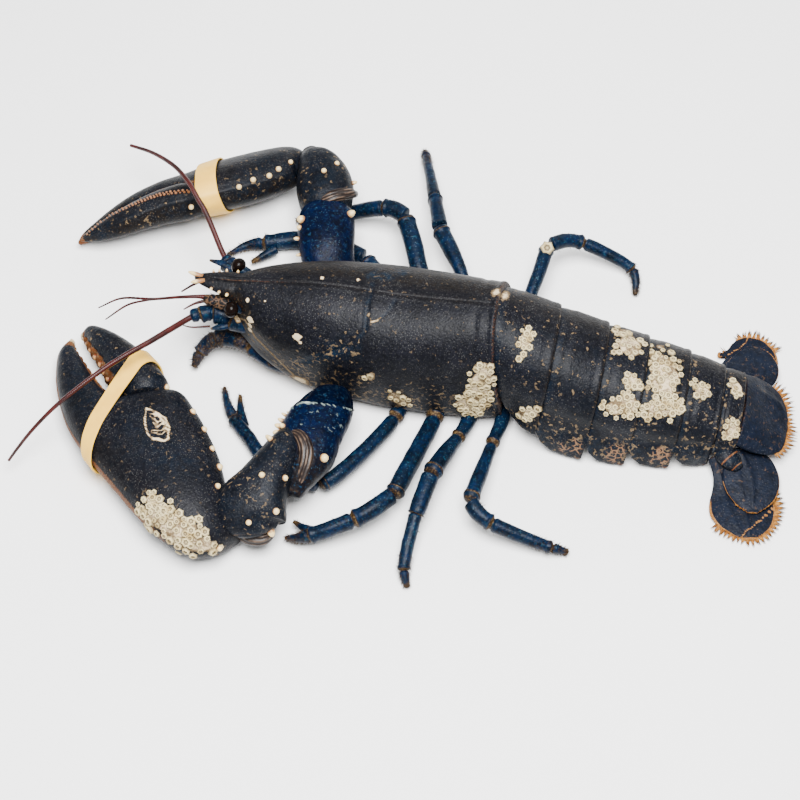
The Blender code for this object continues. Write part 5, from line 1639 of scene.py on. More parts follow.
@dataclass
class CrusherClaw:
    """The heavy left claw with its arm pieces, teeth and scar."""

    # Outer edge x, y, inner edge x, y, height of the middle, half thickness
    palm: Rows = (
        (-51.0, -106.5, -50.0, -99.5, 9.5, 4.5), (-56.5, -113.0, -56.0, -91.5, 11.5, 9.0),
        (-66.0, -117.6, -61.0, -81.5, 13.2, 12.0), (-78.0, -115.0, -66.2, -70.5, 14.4, 13.8),
        (-92.0, -105.5, -73.0, -60.0, 14.8, 14.4), (-104.5, -94.5, -80.6, -49.8, 14.4, 14.0),
        (-115.5, -85.0, -89.5, -41.6, 14.9, 13.2), (-123.0, -77.6, -101.0, -43.0, 13.9, 12.0),
        (-130.0, -70.0, -113.5, -47.6, 12.7, 10.6), (-136.0, -61.5, -120.8, -45.2, 11.6, 9.6),
        (-141.0, -52.0, -126.4, -40.4, 10.6, 8.6), (-145.0, -42.5, -131.6, -34.4, 9.8, 7.4),
        (-147.3, -33.0, -136.6, -28.4, 9.2, 6.0), (-147.8, -25.0, -140.8, -23.4, 8.8, 4.4),
        (-144.8, -17.8, -142.6, -19.0, 8.4, 1.8),
    )
    finger: Rows = (
        (-95.0, -43.5, -112.0, -49.5, 15.0, 9.6), (-95.2, -38.0, -116.5, -45.0, 14.6, 11.4),
        (-100.8, -31.6, -121.0, -41.0, 14.2, 11.6), (-107.4, -25.6, -124.6, -36.8, 13.6, 11.0),
        (-115.0, -20.4, -127.6, -32.0, 13.0, 10.0), (-123.0, -15.7, -131.6, -27.4, 12.2, 8.6),
        (-130.5, -12.4, -135.2, -22.8, 11.2, 7.0), (-137.0, -11.4, -137.6, -18.8, 10.2, 5.0),
        (-140.6, -14.6, -139.8, -17.2, 9.4, 1.8),
    )
    carpus: Rows = (
        (-34.5, -58.0, 22.0, 5.5, 6.5), (-37.6, -64.5, 21.6, 7.6, 9.4), (-40.6, -73.5, 21.0, 9.4, 11.2),
        (-43.4, -83.0, 20.4, 11.6, 11.4), (-46.0, -91.5, 19.4, 14.8, 10.2), (-46.8, -98.5, 17.6, 15.2, 8.4),
        (-45.8, -103.2, 16.2, 11.0, 5.6), (-45.4, -105.0, 15.4, 6.0, 3.0),
    )
    merus: Rows = (
        (-27.0, -15.5, 6.2, 5.0, 4.4), (-26.6, -24.0, 7.2, 6.6, 5.0), (-24.6, -33.0, 13.6, 9.6, 7.4),
        (-25.8, -43.5, 19.0, 12.2, 8.8), (-28.8, -55.0, 21.4, 13.4, 9.2), (-27.8, -66.0, 21.2, 11.2, 8.4),
        (-29.4, -75.0, 19.4, 7.4, 7.0), (-31.6, -83.5, 16.6, 4.0, 4.2),
    )
    elbow_fold: Rows = (
        (-38.4, -60.0, 27.0, 1.2, 1.2), (-33.0, -61.4, 29.0, 2.6, 2.0), (-29.4, -65.6, 29.2, 3.2, 2.4),
        (-27.6, -71.4, 27.2, 3.4, 2.6), (-28.4, -78.0, 23.2, 2.8, 2.4), (-30.4, -84.0, 18.6, 1.4, 1.4),
    )
    wrist_fold: Rows = (
        (-52.0, -98.0, 12.0, 3.0, 3.0), (-47.0, -102.4, 11.4, 4.6, 3.6), (-41.0, -103.4, 11.6, 4.0, 3.4),
        (-37.0, -101.0, 12.0, 2.0, 2.4),
    )
    crest: Rows = (
        (-39.0, -44.6, 22.0), (-34.5, -43.4, 25.8), (-26.9, -44.1, 28.0), (-18.8, -42.0, 24.6),
        (-10.0, -41.5, 22.0),
    )
    scar: Rows = (
        (-99.6, -58.8, 27.7), (-94.3, -60.0, 27.1), (-88.4, -66.6, 27.5), (-87.7, -73.6, 28.5),
        (-94.6, -72.4, 28.0), (-98.1, -66.8, 27.9), (-99.6, -58.8, 27.7),
    )
    scar_inside: Rows = (
        (-96.4, -62.0, 27.7), (-93.0, -67.0, 28.0), (-91.0, -62.6, 27.5), (-89.6, -69.6, 28.5),
        (-94.4, -70.0, 28.0),
    )
    # Edge of the palm or of the finger, first and last share of it with teeth, their count and radius
    tooth_rows: Sequence[tuple[str, float, float, int, float]] = (
        ("palm", 0.60, 0.94, 11, 1.25), ("finger", 0.20, 0.90, 8, 1.6)
    )
    # Points read along an edge, to pick the teeth's places from
    edge_steps: int = 200
    tooth_sides: int = 14
    tooth_profile: Rows = (
        (1.0, -0.4, 1.0), (0.98, 0.2, 0.9), (0.82, 0.62, 0.55), (0.45, 0.92, 0.15), (0.2, 1.0, 0.0)
    )
    hinge: Rows = ((-97.0, -44.0, 26.0), (-104.0, -52.0, 28.0), (-113.0, -50.0, 25.0))

    def palm_skin(self) -> Surface:
        """Palm and fixed finger: keeled outer edge, rusty gap edge, ring scar, crust.

        Returns:
            Its surface.
        """
        skin = plate(self.palm, 240, 190)
        across, share, points = np.cos(skin.turn), skin.along, skin.points
        outer, inner = ease(0.965, 1.0, across), ease(0.88, 1.0, -across)
        gap = ease(0.74, 0.92, -across) * ease(0.55, 0.60, share)
        scallop = np.sin(52.0 * share * math.pi) * hill(inner, 1.0, 0.5) * ease(0.57, 0.62, share)
        amount = 0.25 * outer * ease(0.1, 0.3, share) + 0.45 * scallop * (1.0 - ease(0.93, 0.98, share))
        amount += 0.16 * noise(points, 12.0, 51) + 0.07 * noise(points, 3.0, 52)
        skin.press(amount - 0.7 * hill(off_line(points, self.hinge), 0.0, 1.4))
        shaky = 0.9 * noise(points, 2.6, 53)
        skin.paint("crust", 0.95 * hill(drawn(skin, spline(self.scar, 30)) + shaky, 0.4, 0.62))
        skin.paint("crust", 0.85 * hill(drawn(skin, spline(self.scar_inside, 24)) + shaky, 0.5, 0.5))
        edge = ease(0.94, 0.97, across) * ease(0.62, 0.75, share)
        skin.paint("warm", np.maximum(0.75 * outer * ease(0.15, 0.3, share) + 1.0 * gap, 0.9 * edge))
        skin.paint("warm", 0.95 * ease(0.90, 0.95, share))
        skin.paint("crust", 0.8 * ease(0.94, 0.97, share) + 0.55 * gap * ease(0.80, 0.95, share))
        skin.paint("blue", 0.10 + 0.25 * noise(points, 16.0, 57) + 0.15 * ease(0.5, 0.8, share))
        skin.paint("brown", 0.45 * ease(0.2, 0.9, across) * (1.0 - ease(0.45, 0.6, share)))
        skin.paint("fleck", 0.0)
        return skin.paint("crust", cluster_crust(points, clusters_on("crusher_palm")))

    def finger_skin(self) -> Surface:
        """Moving finger: scalloped, rusty gap edge and keel.

        Returns:
            Its surface.
        """
        skin = plate(self.finger, 130, 110)
        across, share, points = np.cos(skin.turn), skin.along, skin.points
        outer, inner = ease(0.94, 0.98, across), ease(0.74, 0.92, -across)
        toothed = ease(0.15, 0.25, share) * (1.0 - ease(0.88, 0.96, share))
        teeth = np.sin(19.0 * share * math.pi) * inner * toothed
        skin.press(0.75 * teeth + 0.14 * noise(points, 9.0, 61) + 0.06 * noise(points, 2.6, 62))
        skin.paint("warm", 0.80 * outer * ease(0.4, 0.7, share) + inner * ease(0.05, 0.15, share))
        skin.paint("warm", 0.85 * ease(0.86, 0.93, share))
        skin.paint("crust", 0.8 * ease(0.92, 0.96, share) + 0.5 * inner * ease(0.75, 0.9, share))
        skin.paint("blue", 0.12 + 0.3 * noise(points, 12.0, 63))
        return skin.paint("fleck", 0.04)

    def teeth(self) -> bpy.types.Object:
        """Blunt molars along both edges of the gap, largest in the middle.

        Returns:
            The teeth's object.
        """
        places, outward, sizes = [], [], []
        for name, start, stop, count, size in self.tooth_rows:
            rows = self.palm if name == "palm" else self.finger
            picked = (np.linspace(start, stop, count) * (self.edge_steps - 1)).astype(int)
            line = spline(rows, self.edge_steps)[picked]
            edge = np.column_stack([line[:, 2:4], line[:, 4] + 0.12 * line[:, 5]])
            facing = unit(np.column_stack([line[:, 2:4] - line[:, 0:2], np.zeros(count)]))
            swell = size * (0.55 + 0.45 * np.sin(np.linspace(0.4, 2.9, count)))
            places.append(edge - 0.5 * facing)
            outward.append(facing)
            sizes.append(np.column_stack([swell, swell * 0.85]))
        places, outward, sizes = np.vstack(places), np.vstack(outward), np.vstack(sizes)
        return scattered(
            "crusher_teeth", self.tooth_profile, self.tooth_sides, places, outward, sizes, TOOTH, "base"
        )

    def build(self) -> list[bpy.types.Object]:
        """All pieces of the arm and claw.

        Returns:
            The objects: palm, finger, carpus and merus first.
        """
        return [
            register(self.palm_skin().build("crusher_palm_shell", SHELL), "shell", "crusher_palm"),
            register(self.finger_skin().build("crusher_finger_shell", SHELL), "shell", "crusher_finger"),
            register(self.carpus_skin().build("crusher_carpus_shell", SHELL), "shell", "crusher_carpus"),
            register(self.merus_skin().build("crusher_merus_shell", ARM), "limb", "crusher_merus"),
            register(self.teeth(), "horn"),
            register(fold(self.elbow_fold).build("crusher_elbow_skin", SKIN), "underside"),
            register(fold(self.wrist_fold).build("crusher_wrist_skin", SKIN), "underside"),
        ]

    def carpus_skin(self) -> Surface:
        """The wrist, dark as the claw."""
        return arm_piece(self.carpus, 71)

    def merus_skin(self) -> Surface:
        """The arm's vivid piece: a pale crest across it, a duller root and pale dashes beyond.

        Returns:
            Its surface.
        """
        skin = arm_piece(self.merus, 72, 0.95)
        near, y = drawn(skin, self.crest), skin.points[..., 1]
        ragged = near + 0.5 * noise(skin.points, 2.4, 75)
        skin.press(0.8 * hill(near, 0.0, 0.6) - 0.9 * hill(near, 3.0, 2.4) * (y > -42.0))
        skin.paint("crust", 0.80 * hill(ragged, 0.0, 0.45)).paint("brown", 0.8 * ease(-66.0, -72.0, y))
        vivid = (1.0 - 0.8 * ease(-42.0, -39.0, y)) * (1.0 - ease(-62.0, -70.0, y))
        skin.masks["blue"] = skin.masks["blue"] * vivid
        streak = ease(0.35, 0.6, noise(skin.points * np.array([0.4, 1.0, 0.4]), 1.1, 76))
        skin.paint("crust", 0.50 * streak * ease(-62.0, -58.0, y) * (1.0 - ease(-48.0, -44.0, y)))
        return skin


def fold(rows: Rows) -> Surface:
    """A soft roll of skin in a joint, its mask the angle round it.

    Args:
        rows: the stations.

    Returns:
        Its surface.
    """
    skin = limb(rows, 60, 40, 1.0, 1.0)
    skin.masks["stripe"] = skin.turn
    return skin


def arm_piece(rows: Rows, seed: int, blue: float = 0.30) -> Surface:
    """A carpus or merus: fuller section, soft dents, rims at both ends and blue ground.

    Args:
        rows: the stations.
        seed: which of the noises shapes it.
        blue: how strong the blue is.

    Returns:
        Its surface.
    """
    skin = limb(rows, 110, 96, 0.86, 1.6)
    points, share = skin.points, skin.along
    rims = hill(share, 0.06, 0.035) + hill(share, 0.95, 0.03)
    skin.press(0.35 * rims + 0.55 * noise(points, 11.0, seed) + 0.16 * noise(points, 3.4, seed + 1))
    skin.paint("warm", 0.45 * hill(share, 0.06, 0.02) + 0.45 * hill(share, 0.95, 0.02))
    skin.paint("blue", blue * (0.75 + 0.45 * noise(points, 7.0, seed + 2)))
    skin.paint("crust", 0.5 * hill(share, 0.055, 0.02) * (noise(points, 3.0, seed + 3) > -0.3))
    return skin.paint("fleck", 0.02 + 0.09 * (noise(points, 8.0, seed + 4) > 0.1))


@dataclass
class CutterClaw:
    """The slim right claw, turned on its side, with a row of small saw teeth."""

    roll: float = -35.0
    # x, y, z, half width, half height
    palm: Rows = (
        (-60.5, 91.0, 15.4, 6.0, 5.5), (-66.0, 90.0, 15.0, 11.5, 8.4), (-73.0, 86.0, 14.9, 14.8, 10.0),
        (-83.0, 80.0, 14.8, 16.8, 10.6), (-94.0, 73.8, 14.8, 16.8, 10.4), (-104.0, 69.0, 14.2, 15.4, 9.8),
        (-112.0, 67.0, 12.4, 11.6, 9.0), (-120.0, 64.6, 10.2, 9.2, 8.4), (-129.0, 59.4, 9.2, 8.0, 7.4),
        (-138.0, 52.2, 8.2, 6.4, 6.2), (-146.0, 44.6, 7.2, 4.4, 4.6), (-151.5, 39.8, 6.4, 2.6, 2.8),
        (-154.2, 36.8, 6.0, 1.0, 1.0),
    )
    finger: Rows = (
        (-103.5, 60.4, 19.6, 6.4, 7.6), (-110.0, 57.8, 19.0, 8.4, 8.4), (-119.0, 54.2, 17.6, 8.0, 7.8),
        (-128.0, 49.4, 16.0, 7.0, 6.8), (-137.0, 44.4, 13.8, 5.6, 5.6), (-145.0, 40.4, 11.0, 4.0, 4.0),
        (-150.6, 38.2, 9.0, 2.2, 2.2), (-153.0, 37.0, 8.2, 1.0, 1.0),
    )
    carpus: Rows = (
        (-44.6, 60.5, 20.0, 7.4, 7.0), (-46.0, 67.0, 20.4, 11.6, 10.0), (-48.0, 76.0, 20.6, 13.0, 11.0),
        (-51.6, 84.5, 20.2, 11.4, 10.4), (-56.0, 91.0, 19.4, 7.8, 8.0), (-58.8, 95.0, 18.8, 3.8, 4.6),
    )
    elbow_fold: Rows = (
        (-50.6, 61.2, 25.0, 1.6, 1.6), (-43.0, 65.4, 28.6, 3.2, 2.4), (-36.0, 69.6, 27.0, 2.8, 2.4),
        (-33.4, 72.6, 23.4, 1.6, 1.6),
    )
    merus: Rows = (
        (-30.0, 15.5, 6.2, 5.0, 4.4), (-32.0, 24.0, 7.6, 6.8, 5.2), (-36.5, 32.5, 14.5, 10.6, 7.6),
        (-40.6, 42.0, 20.0, 12.4, 8.8), (-42.6, 52.0, 21.4, 12.8, 9.4), (-43.6, 60.5, 21.4, 12.0, 9.0),
        (-44.0, 65.0, 21.2, 8.0, 6.4),
    )
    tooth_count: int = 64
    stagger: float = 0.55
    tooth_sides: int = 10
    tooth_profile: Rows = ((1.0, -0.5, 1.0), (0.95, 0.1, 0.8), (0.7, 0.55, 0.4), (0.3, 0.95, 0.0))
    tooth_line: Rows = (
        (-106.0, 58.8, 27.0), (-117.4, 56.3, 25.7), (-126.1, 53.1, 23.4), (-134.6, 49.4, 20.0),
        (-143.3, 44.8, 16.0), (-150.6, 38.6, 11.3),
    )
    under_face: tuple[float, float, float] = (0.25, -1.0, -0.1)
    gap_line: Rows = (
        (-101.0, 66.5, 26.0), (-112.0, 64.0, 24.5), (-124.0, 58.0, 21.5), (-137.0, 49.5, 16.0),
        (-147.0, 42.6, 11.5), (-152.0, 38.6, 8.6),
    )

    def rolled(self, rows: Rows) -> Rows:
        """The stations with the claw's roll added to each."""
        return [(*row, self.roll) for row in rows]

    def blade(self, rows: Rows, rings: int, around: int, seed: int) -> Surface:
        """Palm or finger: soft dents, rusty edges along the gap and at the tip.

        Args:
            rows: the stations.
            rings: sections along it.
            around: points round it.
            seed: which of the noises shapes it.

        Returns:
            Its surface.
        """
        skin = limb(self.rolled(rows), rings, around, 0.92, 0.5)
        points, share = skin.points, skin.along
        near, below = off_line(points, self.gap_line), skin.normals() @ unit(self.under_face)
        dents = 0.22 * noise(points, 11.0, seed) + 0.07 * noise(points, 3.0, seed + 1)
        skin.press(dents + 0.5 * hill(below, 0.5, 0.14))
        gap = 0.70 * hill(near, 0.0, 1.6) * ease(0.1, 0.3, share)
        skin.paint("warm", gap + 0.9 * ease(0.88, 0.95, share))
        skin.paint("blue", 0.15 + 0.3 * noise(points, 12.0, seed + 2))
        skin.paint("brown", 0.30 + 0.4 * ease(0.5, 0.9, share) + 0.9 * ease(0.5, 0.62, below))
        skin.paint("warm", 0.22 * ease(0.45, 0.62, below))
        return skin.paint("fleck", 0.02 + 0.05 * (noise(points, 9.0, seed + 3) > 0.2))

    def teeth(self, ground: Ground) -> bpy.types.Object:
        """Small pointed teeth in a row along the closed gap.

        Args:
            ground: the finger that carries them.

        Returns:
            The teeth's object.
        """
        line = spline(self.tooth_line, self.tooth_count)
        line[:, 1] += self.stagger * (-1.0) ** np.arange(len(line))
        found = [ground.hit(spot) for spot in line]
        kept = [pair for pair in found if pair]
        places, outward = np.array([pair[0] for pair in kept]), np.array([pair[1] for pair in kept])
        width = np.linspace(0.66, 0.46, len(kept)) * (1.0 + 0.25 * np.sin(2.1 * np.arange(len(kept))))
        sizes = np.column_stack([width, width])
        return scattered(
            "cutter_teeth", self.tooth_profile, self.tooth_sides, places, outward, sizes, GRANULE, "base"
        )

    def build(self) -> list[bpy.types.Object]:
        """All pieces of the arm and claw.

        Returns:
            The objects: palm, finger, carpus and merus first.
        """
        palm = self.blade(self.palm, 190, 120, 81).build("cutter_palm_shell", SHELL)
        finger = self.blade(self.finger, 110, 80, 91).build("cutter_finger_shell", SHELL)
        carpus, merus = arm_piece(self.carpus, 73), arm_piece(self.merus, 74, 0.95)
        return [
            register(palm, "shell", "cutter_palm"),
            register(finger, "shell", "cutter_finger"),
            register(carpus.build("cutter_carpus_shell", SHELL), "shell", "cutter_carpus"),
            register(merus.build("cutter_merus_shell", ARM), "limb", "cutter_merus"),
            register(self.teeth(Ground(finger)), "horn"),
            register(fold(self.elbow_fold).build("cutter_elbow_skin", SKIN), "underside"),
        ]


@dataclass
class Band:
    """A stretched rubber band round a claw's two fingers.

    At each angle the loop's radius is that of the convex outline of the claw: the least of
    (support + slack) / cos(angle between) over all directions.
    """

    name: str
    origin: tuple[float, float, float]
    axis: tuple[float, float, float]
    width: float = 9.5
    thickness: float = 0.95
    slack: float = 0.45
    around: int = 128
    corners: int = 24
    corner_power: float = 0.25

    def build(self, pieces: Sequence[bpy.types.Object]) -> bpy.types.Object:
        """The band round those pieces, its edges rounded.

        Args:
            pieces: the palm and the finger that it holds.

        Returns:
            The band's object.
        """
        origin, axis = np.array(self.origin), unit(np.array(self.axis))
        across = unit(np.cross(UP, axis))
        above = np.cross(axis, across)
        points = np.vstack([self.places(piece) for piece in pieces]) - origin
        depth, flat = points @ axis, np.column_stack([points @ across, points @ above])
        near = np.abs(depth) < 0.5 * self.width + 0.8
        middle = (flat[near].min(axis=0) + flat[near].max(axis=0)) / 2
        spread = (flat[near].max(axis=0) - flat[near].min(axis=0)) / 2
        turn = circle(self.around)
        rays = unit(np.column_stack([spread[0] * np.cos(turn), spread[1] * np.sin(turn)]))
        slices = np.linspace(-0.5, 0.5, 5) * self.width
        radii = np.array([self.outline(flat[np.abs(depth - at) < 0.7] - middle, rays) for at in slices])
        share = np.linspace(0.0, 1.0, len(slices))[:, None]
        bulge = (radii - (radii[0] * (1.0 - share) + radii[-1] * share)).max(axis=0)
        corner = circle(self.corners)
        side = powered(np.cos(corner), self.corner_power)
        lift = 0.5 + 0.5 * powered(np.sin(corner), self.corner_power)
        blend = 0.5 + 0.5 * side[None]
        reach = radii[0][:, None] * (1.0 - blend) + radii[-1][:, None] * blend + bulge[:, None]
        reach = reach + lift[None] * self.thickness
        spot = middle + reach[..., None] * rays[:, None]
        rings = origin + axis * (0.5 * side * self.width)[None, :, None]
        rings = rings + spot[..., :1] * across + spot[..., 1:] * above
        return register(Surface(rings, looped=True).build(self.name + "_loop", RUBBER), "band", self.name)

    def places(self, piece: bpy.types.Object) -> Array:
        """The piece's points, in millimetres.

        Args:
            piece: the finished object.

        Returns:
            Its points.
        """
        flat = np.empty(len(piece.data.vertices) * 3, np.float32)
        piece.data.vertices.foreach_get("co", flat)
        return flat.reshape(-1, 3).astype(float) / MM

    def outline(self, points: Array, rays: Array) -> Array:
        """Radius of the points' convex outline along each ray, plus the slack.

        Args:
            points: the claw's points in the band's plane.
            rays: unit directions from the middle.

        Returns:
            The radii, in millimetres.
        """
        angles = circle(240)
        ways = np.column_stack([np.cos(angles), np.sin(angles)])
        support = (points @ ways.T).max(axis=0) + self.slack
        facing = rays @ ways.T
        return np.where(facing > 0.02, support / np.maximum(facing, 0.02), 1e9).min(axis=1)


BANDS = {
    "left": Band("band_left", (-112.4, -56.9, 13.0), (-0.945, 0.327, -0.34), 7.2),
    "right": Band("band_right", (-98.2, 72.2, 13.0), (-0.956, -0.292, -0.3)),
}


# Legs, head and growths


@dataclass
class Leg:
    """A walking leg: stations from thorax to knee, from knee to tip, and of the second finger."""

    name: str
    upper: Rows
    lower: Rows
    thumb: Rows = ()
    joints: Sequence[float] = (0.36, 0.78)
    upper_joint: float = 0.28
    # No bristle's tip lies lower than this
    tip_height: float = 0.15

    def skin(self, rows: Rows, joints: Sequence[float], seed: int, tip: bool) -> Surface:
        """A tube that narrows at each joint behind a flared, golden rim.

        Args:
            rows: the stations.
            joints: shares of the length at which it bends.
            seed: which of the noises shapes it.
            tip: whether it ends in a tip.

        Returns:
            Its surface.
        """
        skin = limb(rows, 140, 32, 0.92, 0.9 if tip else 2.0)
        points, share = skin.points, skin.along
        amount = 0.12 * noise(points, 4.0, seed) + 0.06 * noise(points, 1.6, seed + 3)
        if tip:
            warm = 0.62 * ease(0.86, 0.98, share)
        else:
            warm = 0.75 * hill(share, 0.955, 0.012) + 0.6 * ease(0.97, 0.99, share)
            amount += 0.45 * hill(share, 0.95, 0.016)
        for joint in joints:
            amount += 0.50 * hill(share, joint - 0.020, 0.016) - 0.95 * hill(share, joint + 0.012, 0.011)
            warm = np.maximum(warm, 0.90 * hill(share, joint, 0.016))
        skin.press(amount)
        skin.paint("warm", warm)
        return skin.paint("blue", 0.60 + 0.5 * noise(points, 5.0, seed + 1))

    def hairs(
        self, skin: Surface, start: float, count: int, draw: np.random.Generator
    ) -> tuple[Array, Array]:
        """Roots and tips of short bristles over the far part of a piece.

        Args:
            skin: the surface.
            start: share of the length from which bristles grow.
            count: how many.
            draw: random numbers.

        Returns:
            The roots and the tips.
        """
        rings, size = skin.points.shape[:2]
        row = (draw.uniform(start, 0.985, count) * (rings - 1)).astype(int)
        column = draw.integers(0, size, count)
        roots, out = skin.points[row, column], skin.normals()[row, column]
        ahead = unit(skin.points[-1].mean(axis=0) - skin.points[int(start * (rings - 1))].mean(axis=0))
        reach = draw.uniform(0.7, 1.7, (count, 1))
        tips = roots + (0.8 * out + 0.55 * ahead) * reach
        return roots - 0.2 * out, np.maximum(tips, np.array([-np.inf, -np.inf, self.tip_height]))


LEGS = (
    Leg("leg_2_left",
        ((6.0, -14.4, 6.0, 3.2, 3.4), (3.6, -30.0, 5.6, 3.2, 3.4), (-4.6, -48.0, 7.2, 3.3, 3.6),
         (-14.8, -64.6, 8.0, 3.3, 3.6), (-20.6, -70.6, 7.4, 3.2, 3.4)),
        ((-24.0, -71.4, 6.8, 3.0, 3.2), (-36.5, -68.4, 5.4, 3.2, 3.4), (-50.0, -60.0, 5.0, 3.0, 3.4),
         (-58.0, -51.4, 4.8, 3.0, 3.4), (-64.4, -44.8, 4.4, 2.8, 3.0), (-70.0, -36.4, 3.4, 1.9, 2.0),
         (-73.6, -27.4, 2.6, 0.9, 1.0)),
        ((-60.6, -45.6, 4.4, 2.0, 2.0), (-64.0, -38.0, 3.6, 1.7, 1.8), (-66.0, -30.0, 2.8, 0.8, 0.9)),
        (0.34, 0.70)),
    Leg("leg_3_left",
        ((19.5, -14.4, 6.0, 3.6, 3.6), (20.4, -28.0, 6.4, 3.6, 3.8), (16.4, -48.0, 9.8, 3.8, 4.2),
         (12.4, -66.0, 12.8, 3.9, 4.4), (10.8, -73.0, 13.4, 3.8, 4.2)),
        ((9.2, -75.6, 13.6, 3.7, 4.0), (3.6, -82.6, 13.8, 3.8, 4.2), (-3.2, -88.4, 13.0, 3.7, 4.0),
         (-12.0, -93.4, 11.2, 3.3, 3.6), (-20.4, -97.0, 8.8, 3.1, 3.4), (-26.4, -98.0, 6.0, 2.0, 2.2),
         (-31.6, -97.6, 3.8, 0.9, 1.0)),
        ((-19.0, -95.0, 8.6, 2.0, 2.0), (-25.0, -93.0, 6.2, 1.7, 1.8), (-29.8, -89.8, 4.6, 0.8, 0.9)),
        (0.36, 0.68)),
    Leg("leg_4_left",
        ((34.0, -14.0, 6.0, 3.4, 3.4), (35.2, -26.0, 6.2, 3.4, 3.6), (32.0, -38.0, 8.0, 2.8, 3.2),
         (28.4, -49.0, 11.2, 3.6, 4.0), (24.8, -61.0, 14.4, 4.0, 4.2)),
        ((24.2, -63.8, 14.8, 3.8, 4.0), (21.8, -78.4, 13.0, 3.6, 3.8), (21.0, -83.0, 11.8, 2.9, 3.2),
         (20.0, -95.0, 7.8, 2.8, 3.0), (20.0, -104.0, 4.6, 2.5, 2.7), (22.4, -110.6, 1.8, 1.2, 1.3)),
        (), (0.36, 0.80), 0.50),
    Leg("leg_5_left",
        ((46.0, -11.8, 6.0, 3.2, 3.2), (49.4, -23.0, 6.4, 3.2, 3.4), (47.2, -39.2, 8.6, 2.7, 3.0),
         (44.8, -57.5, 12.2, 3.2, 3.6), (43.0, -70.6, 14.0, 3.4, 3.6)),
        ((43.6, -73.4, 14.0, 3.4, 3.6), (47.0, -77.0, 13.4, 3.4, 3.6), (53.4, -80.2, 11.8, 3.2, 3.4),
         (66.0, -82.4, 8.8, 2.8, 3.0), (77.8, -83.6, 5.8, 2.4, 2.6), (86.2, -83.0, 2.6, 1.3, 1.4)),
        (), (0.40, 0.82), 0.50),
    Leg("leg_2_right",
        ((4.0, 14.4, 6.0, 3.2, 3.4), (-5.0, 28.0, 6.2, 3.4, 3.6), (-15.0, 40.0, 6.8, 3.6, 3.6),
         (-23.5, 48.6, 6.6, 3.6, 3.6)),
        ((-26.4, 51.4, 6.2, 3.5, 3.6), (-36.0, 55.0, 5.6, 3.4, 3.6), (-47.0, 56.6, 5.4, 3.4, 3.6),
         (-58.0, 55.4, 5.6, 4.0, 4.2), (-69.0, 52.2, 5.4, 3.5, 3.6), (-79.0, 49.6, 4.4, 2.0, 2.2),
         (-86.8, 44.2, 3.2, 0.9, 1.0)),
        ((-66.0, 49.0, 5.2, 2.2, 2.4), (-70.6, 45.0, 4.6, 1.8, 2.0), (-75.4, 41.4, 3.6, 0.9, 1.0)),
        (0.30, 0.70)),
    Leg("leg_3_right",
        ((17.5, 14.4, 6.0, 3.6, 3.6), (10.0, 27.5, 6.8, 3.8, 3.8), (1.6, 42.0, 14.6, 4.0, 4.2),
         (-3.6, 54.4, 17.4, 4.2, 4.4), (-8.8, 66.0, 18.0, 4.0, 4.2)),
        ((-10.0, 68.6, 18.0, 3.8, 4.0), (-16.0, 71.6, 17.6, 3.8, 4.0), (-23.0, 72.2, 15.6, 3.6, 3.8),
         (-33.6, 72.4, 10.2, 3.4, 3.4), (-43.0, 71.8, 5.0, 2.9, 3.0), (-52.0, 70.6, 3.4, 2.0, 2.1),
         (-60.0, 69.0, 2.2, 0.9, 1.0)),
        ((-43.0, 70.2, 4.6, 1.8, 1.8), (-50.0, 66.6, 3.4, 1.5, 1.6), (-56.0, 64.8, 2.4, 0.8, 0.9)),
        (0.28, 0.70)),
    Leg("leg_4_right",
        ((33.0, 14.0, 6.0, 3.2, 3.4), (26.6, 28.0, 8.4, 3.0, 3.4), (20.6, 42.4, 15.2, 3.0, 3.4),
         (13.6, 54.0, 17.2, 3.6, 3.8), (7.6, 63.0, 18.0, 3.8, 4.0)),
        ((6.6, 65.8, 18.0, 3.6, 3.8), (3.6, 76.0, 16.6, 3.2, 3.4), (0.8, 85.4, 14.0, 3.0, 3.2),
         (-3.6, 100.0, 9.6, 2.4, 2.6), (-7.2, 112.4, 5.0, 2.0, 2.2), (-8.9, 118.0, 2.6, 1.2, 1.3)),
        (), (0.36, 0.86)),
    Leg("leg_5_right",
        ((46.0, 11.8, 6.0, 3.2, 3.2), (49.6, 22.0, 7.0, 3.0, 3.2), (52.2, 36.0, 14.2, 2.9, 3.2),
         (54.6, 50.0, 17.0, 3.1, 3.4), (56.0, 61.0, 18.0, 3.2, 3.4)),
        ((58.0, 64.2, 18.0, 3.2, 3.4), (64.0, 68.4, 16.6, 3.1, 3.3), (71.4, 70.2, 14.0, 2.9, 3.1),
         (84.0, 68.8, 9.8, 2.7, 2.9), (94.0, 66.2, 6.0, 2.4, 2.6), (97.2, 61.4, 4.2, 1.9, 2.0),
         (97.8, 55.0, 2.4, 1.0, 1.0)),
        (), (0.34, 0.68)),
)


